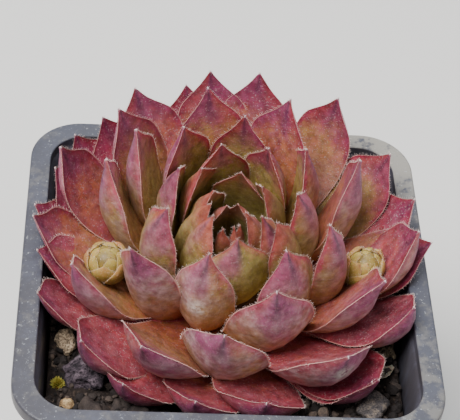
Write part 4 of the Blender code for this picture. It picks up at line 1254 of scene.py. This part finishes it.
def ground_height(x, y):
    """Height of the grit's surface: dished under the plant, banked up to the walls, a little lumpy."""
    bank = float(smooth(math.hypot(x, y), *DISH_RADII))
    lumps = noise.noise(Vector((x, y, 0)) / LUMP_SIZE) * MEDIUM_LUMPS * min(1, 2 * bank + LUMPS_AT_CENTRE)
    return MEDIUM_CENTRE + (MEDIUM_EDGE - MEDIUM_CENTRE) * bank + lumps


def crumbled_height(x, y):
    return ground_height(x, y) + noise.fractal(Vector((x, y, 0)) / CRUMB_SIZE, *CRUMB_NOISE) * CRUMB_HEIGHT


def make_ground():
    """The bed of grit: a foot, a wall a little off the pot's, and rings that close over the surface."""
    steps = (SURFACE_CORNER_STEPS, SURFACE_SIDE_STEPS)
    bottom = WALL + GAP
    foot, foot_corner = inner_wall(bottom)
    rings = [rounded_square(foot - MEDIUM_FOOT_INSET, foot_corner, bottom, *steps)]
    for z in (bottom + MEDIUM_FOOT_RISE, MEDIUM_CENTRE):
        half, corner = inner_wall(z)
        rings.append(rounded_square(half - GAP, corner, z, *steps))
    half, corner = inner_wall(MEDIUM_EDGE)
    for share in np.linspace(1, SMALLEST_RING, SURFACE_RINGS):
        ring = rounded_square((half - 2 * GAP) * share, corner * share, 0, *steps)
        rings.append([(x, y, crumbled_height(x, y)) for x, y, _ in ring])
    ground = Bundle()
    ground.add_tube(np.array(rings), (0, 0, ground_height(0, 0)), {})
    return ground.mesh("grit_bed")


ground_mesh = make_ground()
print("grit_bed:", len(ground_mesh.polygons), "faces")

# %% [markdown]
# Where the grains lie
#
# The first table holds the stones that can be told apart on the real plant. The grains keep clear of them.

# %% Places of stones and grains
STONES = {      # place and half sizes, in millimetres
    "lava_stone": {"place": (-26.8, -20.4), "half": (3.4, 5.3, 3.2)},
    "pumice_left": {"place": (-30.6, -12.4), "half": (2.3, 3.6, 2.4)},
    "pumice_right": {"place": (32.0, -12.2), "half": (2.1, 2.8, 2.4)},
    "grey_pebble": {"place": (28.0, -25.6), "half": (4.1, 3.4, 2.6)},
    "tan_chip": {"place": (-29.9, -27.6), "half": (1.9, 1.5, 1.3)},
}
DRY_LEAF_PLACE = Vector((30.4, -18.2)) * MM
DRY_LEAF_SIZE = (5.6 * MM, 2.6 * MM, 0.7 * MM)
MOSS_PLACE = Vector((-31.9, -22.0)) * MM
GRIT_COUNT = 54
GRIT_RADII = (1.5 * MM, 2.9 * MM)
GRIT_STRETCH = (0.8, 1.15)
GRIT_SPACING = 0.8              # least distance between two grains, as a share of their radii
GRIT_RISE = 0.05                # how far a grain's middle stands above the surface, as a share of its radius
GRIT_FIELD = 31.6 * MM          # half width of the square that holds them
GRIT_CLEAR = 29 * MM            # none lies nearer to the middle, under the plant
GRIT_CORNER_CUT = 5 * MM        # how much of the square's corners stays free
GRIT_SEED = 11
FINE_COUNT = 2300
FINE_RADII = (0.28 * MM, 1.1 * MM)
FINE_CROWDING = 2.2             # above 1 most of them are small
FINE_STRETCH = (0.7, 1.3)
FINE_RISE = (0.1, 0.6)
FINE_FIELD = 33.6 * MM
FINE_CLEAR = 17 * MM
FINE_OFF_STONES = 0.7           # how far they keep off a stone's middle, as a share of its half size
FINE_OFF_DRY_LEAF = 1.6 * MM
FINE_OFF_MOSS = 1.5 * MM
FINE_SEED = 23
GRAIN_TILT = 0.5                # grains are tipped by up to this, in radians
GRAIN_SEED = 31
CRUMB_BELOW = 0.75 * MM         # grains smaller than this are shaped from the plainest ball


def big_grains():
    """(place, half sizes, turn) of the larger grains, drawn exactly as the solid model draws them."""
    draw = random.Random(GRIT_SEED)
    taken = [(Vector(stone["place"]) * MM, max(stone["half"][:2]) * MM) for stone in STONES.values()]
    taken.append((DRY_LEAF_PLACE, DRY_LEAF_SIZE[0] / 2))
    grains = []
    while len(grains) < GRIT_COUNT:
        spot = Vector((draw.uniform(-GRIT_FIELD, GRIT_FIELD), draw.uniform(-GRIT_FIELD, GRIT_FIELD)))
        radius = draw.uniform(*GRIT_RADII)
        in_corner = abs(spot.x) + abs(spot.y) > 2 * GRIT_FIELD - GRIT_CORNER_CUT
        crowded = any((spot - other).length < GRIT_SPACING * (radius + size) for other, size in taken)
        if spot.length < GRIT_CLEAR or in_corner or crowded:
            continue
        taken.append((spot, radius))
        half = [radius * draw.uniform(*GRIT_STRETCH) for _ in range(3)]
        grains.append(((*spot, ground_height(*spot) + GRIT_RISE * radius), half, draw.uniform(0, math.tau)))
    return grains


def fine_grains():
    """The small grains, mostly small: each keeps clear of the loose stones' middles and of the walls."""
    draw = random.Random(FINE_SEED)
    clear = [(Vector(stone["place"]) * MM, min(stone["half"][:2]) * MM * FINE_OFF_STONES)
             for stone in STONES.values()]
    clear += [(DRY_LEAF_PLACE, FINE_OFF_DRY_LEAF), (MOSS_PLACE, FINE_OFF_MOSS)]
    grains = []
    while len(grains) < FINE_COUNT:
        spot = Vector((draw.uniform(-FINE_FIELD, FINE_FIELD), draw.uniform(-FINE_FIELD, FINE_FIELD)))
        radius = between(FINE_RADII, draw.random() ** FINE_CROWDING)
        in_corner = abs(spot.x) + abs(spot.y) > 2 * FINE_FIELD - GRIT_CORNER_CUT
        crowded = any((spot - other).length < size for other, size in clear)
        if spot.length < FINE_CLEAR or in_corner or crowded:
            continue
        half = [radius * draw.uniform(*FINE_STRETCH) for _ in range(3)]
        grains.append(((*spot, ground_height(*spot) + radius * draw.uniform(*FINE_RISE)), half,
                       draw.uniform(0, math.tau)))
    return grains


def grain_points(grains, name):
    """Points for the grains, with their sizes, turns and tones."""
    draw = random.Random(GRAIN_SEED)
    mesh = bpy.data.meshes.new(name)
    mesh.from_pydata([place for place, _, _ in grains], [], [])
    mark_points(mesh, "size", [half for _, half, _ in grains])
    tilts = [(draw.uniform(-GRAIN_TILT, GRAIN_TILT), draw.uniform(-GRAIN_TILT, GRAIN_TILT)) for _ in grains]
    mark_points(mesh, "turn", [(*tilt, turn) for tilt, (_, _, turn) in zip(tilts, grains)])
    mark_points(mesh, "tone", [draw.random() for _ in grains])
    return mesh


print("grains:", GRIT_COUNT, "large and", FINE_COUNT, "small")

# %% [markdown]
# Broken grains by Geometry Nodes
#
# Every grain starts as a faceted ball, stretched and turned by its own numbers. The balls are made real, and
# then one field of noise and one of cells push all their points in and out. The fields are read at the
# grain's place, so no two grains break alike.

# %% Grain workshop
COARSE_BREAKS = {"Roundness": 4, "Lump Size": 2.2 * MM, "Lump Height": 0.8 * MM,
                 "Break Size": 2.2 * MM, "Break Depth": 2.4 * MM}
FINE_BREAKS = {"Roundness": 2, "Lump Size": 0.9 * MM, "Lump Height": 0.4 * MM,
               "Break Size": 1.0 * MM, "Break Depth": 0.5 * MM}
CRUMB_BREAKS = {**FINE_BREAKS, "Roundness": 1}


def grain_workshop(material):
    shop = Workshop("broken grains", {"Roundness": 2, "Lump Size": 1.6 * MM, "Lump Height": 0.5 * MM,
                                      "Break Size": 1.8 * MM, "Break Depth": 0.4 * MM})
    ball = shop.node("GeometryNodeMeshIcoSphere", None,
                     {"Radius": 1.0, "Subdivisions": shop.given("Roundness")})
    grains = shop.node("GeometryNodeInstanceOnPoints", None,
                       {"Points": shop.given("Geometry"), "Instance": ball,
                        "Rotation": shop.named("turn"), "Scale": shop.named("size")})
    real = shop.node("GeometryNodeRealizeInstances", None, {"Geometry": grains})
    place = shop.node("GeometryNodeInputPosition")
    lumps = shop.node("ShaderNodeTexNoise", None, {"Vector": place, "Scale": 1 / shop.given("Lump Size")})
    cells = shop.node("ShaderNodeTexVoronoi", None, {"Vector": place, "Scale": 1 / shop.given("Break Size")})
    push = (lumps - 0.5) * shop.given("Lump Height") * 2 + (cells - 0.5) * shop.given("Break Depth")
    outward = shop.node("ShaderNodeVectorMath", {"operation": "SCALE"},
                        {0: shop.node("GeometryNodeInputNormal"), "Scale": push})
    broken = shop.node("GeometryNodeSetPosition", None, {"Geometry": real, "Offset": outward})
    shop.deliver(broken, material)
    return shop


def grit_finish():
    grit = Finish("dark grit", Roughness=0.92, Specular_IOR_Level=0.3)
    tone = grit.attribute("tone")
    cloud = grit.noise(grit.place, 2.4 * MM, 4, 0.6)
    grain = grit.noise(grit.place, 0.35 * MM, 3, 0.6)
    hue = grit.clamp(tone * 0.75 + (cloud - 0.5) * 0.7 + (grain - 0.5) * 0.5)
    colour = grit.ramp(hue, shades((0.00, 26, 22, 21), (0.35, 44, 38, 37), (0.60, 64, 55, 51),
                                   (0.82, 94, 80, 70), (1.00, 134, 118, 100)))
    grit.feed("Base Color", colour)
    grit.bump(grain, 0.25 * MM, 0.8)
    return grit


def bed_finish():
    bed = Finish("damp bed of grit", Roughness=0.95, Specular_IOR_Level=0.2)
    crumbs = bed.noise(bed.place, 0.9 * MM, 5, 0.65)
    colour = bed.ramp(crumbs, shades((0.30, 22, 18, 17), (0.55, 46, 38, 35), (0.75, 82, 68, 58)))
    bed.feed("Base Color", colour)
    bed.bump(crumbs, 0.8 * MM, 0.9)
    return bed


GRIT = grit_finish()
GRAINS = grain_workshop(GRIT.material)
bed = new_piece("grit_bed", ground_mesh, bed_finish())
small_grains = fine_grains()
GRAIN_SETS = {      # grains, how they break, and whether their faces are shaded round
    "coarse_grit": (big_grains(), COARSE_BREAKS, True),
    "fine_grit": ([grain for grain in small_grains if max(grain[1]) >= CRUMB_BELOW], FINE_BREAKS, False),
    "grit_crumbs": ([grain for grain in small_grains if max(grain[1]) < CRUMB_BELOW], CRUMB_BREAKS, False),
}
grit = [new_piece(name, run(GRAINS, name, grain_points(grains, name + "_places"), breaks), rounded=rounded)
        for name, (grains, breaks, rounded) in GRAIN_SETS.items()]
print("faces:", {piece.name: len(piece.data.polygons) for piece in (bed, *grit)})

# %% [markdown]
# The stones that can be told apart
#
# Each stone takes the solid model's hull, cut into small faces, and is worn from there: broad lumps first,
# then pits. Lava and pumice were frothy melts, so they are full of open bubbles. The pebble and the chip have
# hardly any.

# %% Stone forms
STONE_FORMS = {     # size and height of the lumps, size and depth of the pits, in millimetres
    "lava_stone": (2.6, 0.75, 1.5, 0.85),
    "pumice_left": (1.6, 0.45, 0.9, 0.40),
    "pumice_right": (1.5, 0.45, 0.9, 0.40),
    "grey_pebble": (2.8, 0.50, 1.4, 0.18),
    "tan_chip": (1.2, 0.30, 0.8, 0.10),
}
STONE_CUTS = 9                  # new points on each edge of the hull
STONE_SMOOTHINGS = 4
LUMP_LAYERS = (0.9, 2.0, 4)     # how much finer, how much denser and how many the layers of the lumps are
PIT_REACH = 0.45                # radius of a pit, in pit sizes
PIT_STEEPNESS = 1.2
STONE_FILL = 0.15               # millimetres added all round, for what the smoothing took


def worn_stone(node, lump_size, lump_height, pit_size, pit_depth):
    """The node's hull with finer faces, lumps and pits."""
    bm = bmesh.new()
    bm.from_mesh(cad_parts[node].data)
    bmesh.ops.remove_doubles(bm, verts=bm.verts, dist=0.01 * MM)
    bmesh.ops.triangulate(bm, faces=bm.faces)
    bmesh.ops.subdivide_edges(bm, edges=bm.edges, cuts=STONE_CUTS, use_grid_fill=True)
    for _ in range(STONE_SMOOTHINGS):
        bmesh.ops.smooth_vert(bm, verts=bm.verts, factor=0.5,
                              use_axis_x=True, use_axis_y=True, use_axis_z=True)
    bmesh.ops.recalc_face_normals(bm, faces=bm.faces)
    bm.normal_update()
    moves = []
    for vert in bm.verts:
        lumps = noise.fractal(vert.co / (lump_size * MM), *LUMP_LAYERS) * lump_height
        nearest = noise.voronoi(vert.co / (pit_size * MM))[0][0]
        pit = max(0.0, 1 - nearest / PIT_REACH) ** PIT_STEEPNESS * pit_depth
        moves.append(vert.normal * (lumps - pit + STONE_FILL) * MM)
    for vert, move in zip(bm.verts, moves):
        vert.co += move
    return mesh_from_bmesh(bm, node + "_worn")


def stone_finish(name, stops, grain_size, pore_size, pore_depth_and_shade):
    """Broken stone: clouds of its colours from dark to pale, with bubble holes dented in and painted in the
    darkest colour as shade.
    """
    stone = Finish(name, Roughness=0.9, Specular_IOR_Level=0.3)
    cloud = stone.noise(stone.place, grain_size * MM, 5, 0.62)
    speck = stone.noise(stone.place, STONE_SPECK, 2)
    holes = stone.node("ShaderNodeTexVoronoi", None, {"Vector": stone.place, "Scale": 1 / (pore_size * MM)})
    # painted shade: the bubble holes are dented by the bump and painted in the darkest colour, as the shade
    # inside them
    pore_dent_and_shade = (1 - stone.rise(holes, 0.18, 0.42)) * pore_depth_and_shade
    hue = stone.clamp(cloud + (speck - 0.5) * 0.5)
    colour = stone.mix(stone.ramp(hue, stops), stops[0][1], stone.clamp(pore_dent_and_shade))
    stone.feed("Base Color", colour)
    stone.bump(speck * 0.4 - pore_dent_and_shade + cloud * 0.5, 0.3 * MM, 0.9)
    return stone


STONE_SPECK = 0.25 * MM
STONE_FINISHES = {      # name, colours, grain and hole widths in mm, depth of the holes' dents and painted shade
    "lava_stone": ("dark lava", shades((0.30, 26, 22, 27), (0.50, 60, 51, 58), (0.68, 104, 90, 98)),
                   1.6, 0.9, 0.8),
    "pumice_left": ("brown pumice", shades((0.30, 70, 58, 46), (0.50, 132, 114, 94), (0.70, 182, 162, 136)),
                    1.1, 0.55, 0.7),
    "pumice_right": ("pale pumice", shades((0.30, 60, 50, 40), (0.50, 124, 108, 86), (0.70, 176, 158, 128)),
                     1.1, 0.55, 0.7),
    "grey_pebble": ("grey stone", shades((0.30, 50, 47, 48), (0.50, 90, 84, 84), (0.70, 142, 128, 114)),
                    1.9, 0.5, 0.35),
    "tan_chip": ("tan chip", shades((0.30, 92, 72, 50), (0.50, 148, 120, 86), (0.70, 196, 170, 128)),
                 0.9, 0.4, 0.3),
}
stones = {node: new_piece(node + "_worn", worn_stone(node, *sizes), stone_finish(*STONE_FINISHES[node]))
          for node, sizes in STONE_FORMS.items()}
print("stones:", {node: len(piece.data.polygons) for node, piece in stones.items()})

# %% [markdown]
# A dead leaf and a tuft of moss
#
# The scrap of dead leaf is a dry curled sheet with ribs along it and a ragged edge. The moss is a cushion of
# tiny pointed blades that lean out from one spot.

# %% Dead leaf and moss
DRY_LEAF_RISE = 0.9 * MM
DRY_LEAF_OUTLINE = ((0, 0.3, 0.65, 1), (0.35, 0.9, 1.0, 0.3))   # shares of the length and of the width
DRY_LEAF_ARCH = 0.16            # how far its ends stand up, as a share of its length
DRY_LEAF_CURL = 0.40            # how far its sides stand up, as a share of its half width
DRY_LEAF_RAGS = (0.16, 9)       # how deep, and how many to its length, the rags of its edge are
DRY_LEAF_RIBS = (0.10 * MM, 11)         # height of the ribs, and their pace across
DRY_LEAF_DENTS = (0.35 * MM, 4, 2)      # height of the dents, and their pace along and across
DRY_LEAF_TURN = math.radians(35)
DRY_LEAF_TILT = math.radians(8)
DRY_LEAF_STATIONS = 30
DRY_LEAF_POINTS = 15
SHEET = 0.22 * MM               # thickness of the scrap
SHEET_EDGE = 0.96               # width of its upper face, as a share of the lower one's
MOSS_BLADES = 260
MOSS_RADIUS = 1.55 * MM
MOSS_DEPTH = 0.2 * MM           # how far the tuft is sunk in the grit
MOSS_LOWEST = 0.95              # 1 would send the last blades out level
MOSS_START = 0.45               # the blades stand on a ball of this share of the tuft's radius
MOSS_LEAN = 0.35
MOSS_REACHES = (0.4, 0.62)      # length of a blade, as a share of the tuft's radius
MOSS_WIDTH = 0.085 * MM
MOSS_WIDTHS = (0.8, 1.2)
MOSS_BEND = 0.25 * MM           # how far a blade bends upwards
MOSS_TIP_BEND = 0.3 * MM
BLADE_STATIONS = ((0, 0.6), (0.45, 1.0), (0.8, 0.6))    # place along a blade, and its width there
MOSS_SEED = 7


def make_dry_leaf():
    """A curled sheet, lofted from rings that go across its lower face and back across the upper one."""
    length, width, _ = DRY_LEAF_SIZE
    rag_depth, rag_pace = DRY_LEAF_RAGS
    rib_height, rib_pace = DRY_LEAF_RIBS
    dent_height, dents_along, dents_across = DRY_LEAF_DENTS
    rings = []
    sides = np.linspace(-1, 1, DRY_LEAF_POINTS)
    for share in np.linspace(0, 1, DRY_LEAF_STATIONS):
        ragged = 1 + rag_depth * noise.noise(Vector((share * rag_pace, 3, 0)))
        half = width / 2 * float(np.interp(share, *DRY_LEAF_OUTLINE)) * ragged
        x = (share - 0.5) * length
        rise = DRY_LEAF_ARCH * length * (2 * share - 1) ** 2
        sheet = []
        for side in sides:
            rib = rib_height * math.cos(side * rib_pace)
            dent = dent_height * noise.noise(Vector((share * dents_along, side * dents_across, 5)))
            sheet.append((x, half * side, rise + DRY_LEAF_CURL * half * side * side + rib + dent))
        top = [(px, py * SHEET_EDGE, pz + SHEET) for px, py, pz in reversed(sheet)]
        rings.append(sheet + top)
    centre = (*DRY_LEAF_PLACE, ground_height(*DRY_LEAF_PLACE) + DRY_LEAF_RISE)
    points = carried(rings, Matrix.Translation(centre) @ Matrix.Rotation(DRY_LEAF_TURN, 4, "Z")
                     @ Matrix.Rotation(DRY_LEAF_TILT, 4, "Y"))
    scrap = Bundle()
    scrap.add_tube(points, points[-1].mean(0), {"across": np.concatenate((sides, sides[::-1]))[None]})
    return scrap.mesh("dead_leaf")


def dry_leaf_finish():
    dry = Finish("dead leaf", Roughness=0.75, Subsurface_Weight=0.1, Subsurface_Scale=0.5 * MM)
    ribs = dry.node("ShaderNodeTexWave", {"wave_type": "BANDS"},
                    {"Vector": dry.node("ShaderNodeCombineXYZ", None, {"X": dry.attribute("across")}),
                     "Scale": 2.2, "Distortion": 1.0}, out=1)
    cloud = dry.noise(dry.place, 1.1 * MM, 4, 0.6)
    colour = dry.ramp(cloud, shades((0.30, 120, 104, 84), (0.50, 182, 170, 150), (0.70, 222, 214, 200)))
    dry.feed("Base Color", dry.mix(colour, paint(130, 112, 92), ribs * 0.4))
    dry.bump(ribs + cloud, 0.2 * MM, 0.8)
    return dry


def make_moss():
    """Blades that stand out from a small ball, drawn a little apart from their neighbours."""
    draw = random.Random(MOSS_SEED)
    tuft = Bundle()
    base = Vector((*MOSS_PLACE, ground_height(*MOSS_PLACE) - MOSS_DEPTH))
    for number in range(MOSS_BLADES):
        height = 1 - (number + 0.5) / MOSS_BLADES * MOSS_LOWEST
        angle = number * GOLDEN_ANGLE
        ring = math.sqrt(1 - height * height)
        way = Vector((ring * math.cos(angle), ring * math.sin(angle), height))
        start = base + way * MOSS_RADIUS * MOSS_START
        lean = (way + Vector([draw.uniform(-MOSS_LEAN, MOSS_LEAN) for _ in range(3)])).normalized()
        reach = MOSS_RADIUS * draw.uniform(*MOSS_REACHES)
        across = lean.orthogonal().normalized()
        other = lean.cross(across)
        width = MOSS_WIDTH * draw.uniform(*MOSS_WIDTHS)
        rings = []
        for share, broad in BLADE_STATIONS:
            middle = start + lean * reach * share + Vector((0, 0, MOSS_BEND)) * share * share
            rings.append([middle + (across * math.cos(a) + other * 0.5 * math.sin(a)) * width * broad
                          for a in (0, math.pi / 2, math.pi, 3 * math.pi / 2)])
        tip = start + lean * reach + Vector((0, 0, MOSS_TIP_BEND))
        tuft.add_tube(np.array([[list(point) for point in ring] for ring in rings]), tip,
                      {"along": np.array((0, 0.5, 0.85))[:, None], "draw": draw.random()})
    return tuft.mesh("moss")


def moss_finish():
    moss = Finish("moss", Roughness=0.7, Subsurface_Weight=0.1, Subsurface_Scale=0.5 * MM)
    hue = moss.clamp(moss.attribute("along") * 0.8 + moss.attribute("draw") * 0.3)
    colour = moss.ramp(hue, shades((0.0, 70, 62, 24), (0.5, 150, 138, 50), (1.0, 206, 196, 92)))
    moss.feed("Base Color", colour)
    return moss


dead_leaf = new_piece("dead_leaf", make_dry_leaf(), dry_leaf_finish())
moss = new_piece("moss", make_moss(), moss_finish(), rounded=False)
print("dead_leaf:", len(dead_leaf.data.polygons), "faces, moss:", len(moss.data.polygons), "faces")

# %% [markdown]
# The floor
#
# A plain pale sheet under the pot catches its soft shadow. It is no part of the object.

# %% Floor
FLOOR_HALF = 1.5                # metres
FLOOR_DROP = 0.2 * MM           # below the pot's foot, so that the two don't coincide
FLOOR_CLOUD = 0.2


def make_floor():
    bm = bmesh.new()
    bmesh.ops.create_grid(bm, x_segments=8, y_segments=8, size=FLOOR_HALF)
    pale = Finish("pale floor", Roughness=0.8)
    tone = pale.noise(pale.place, FLOOR_CLOUD, 2)
    pale.feed("Base Color", pale.mix(paint(214, 212, 208), paint(222, 220, 217), tone))
    sheet = new_piece("floor", mesh_from_bmesh(bm, "floor"), pale)
    sheet.location.z = -FLOOR_DROP
    return sheet


floor = make_floor()
print("floor:", 2 * FLOOR_HALF, "m wide")

# %% [markdown]
# What each piece stands for
#
# Each fine piece takes the place of the plain solid that it was made from. All of them ride on the one body,
# because nothing on a potted plant moves by itself. The table also lists the record's slot for each piece:
# the stem and the hairs under the leaves', and the moss, which has no slot of its own, under the offsets',
# whose colour is the nearest. The loop below does not use the slots.

# %% Places in the model
STONE_SLOTS = {"lava_stone": "lava", "pumice_left": "pumice", "pumice_right": "pumice",
               "grey_pebble": "pebble", "tan_chip": "chip"}
DRESS = [(rosette, "leaf", "main_rosette"), (fringe, "leaf", None), (stem, "leaf", None)]
for node, (bud, fuzz) in buds.items():
    DRESS += [(bud, "offset", node), (fuzz, "offset", None)]
DRESS += [(pot_piece, "pot", "pot"), (bed, "grit", "growing_medium")]
DRESS += [(grains, "grit", None) for grains in grit]
DRESS += [(stones[node], slot, node) for node, slot in STONE_SLOTS.items()]
DRESS += [(dead_leaf, "dead_leaf", "dry_leaf"), (moss, "offset", None)]
for piece, slot, node in DRESS:
    if node:
        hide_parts(node)
    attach(piece, BODY)
    print(piece.name, "rides on", BODY)
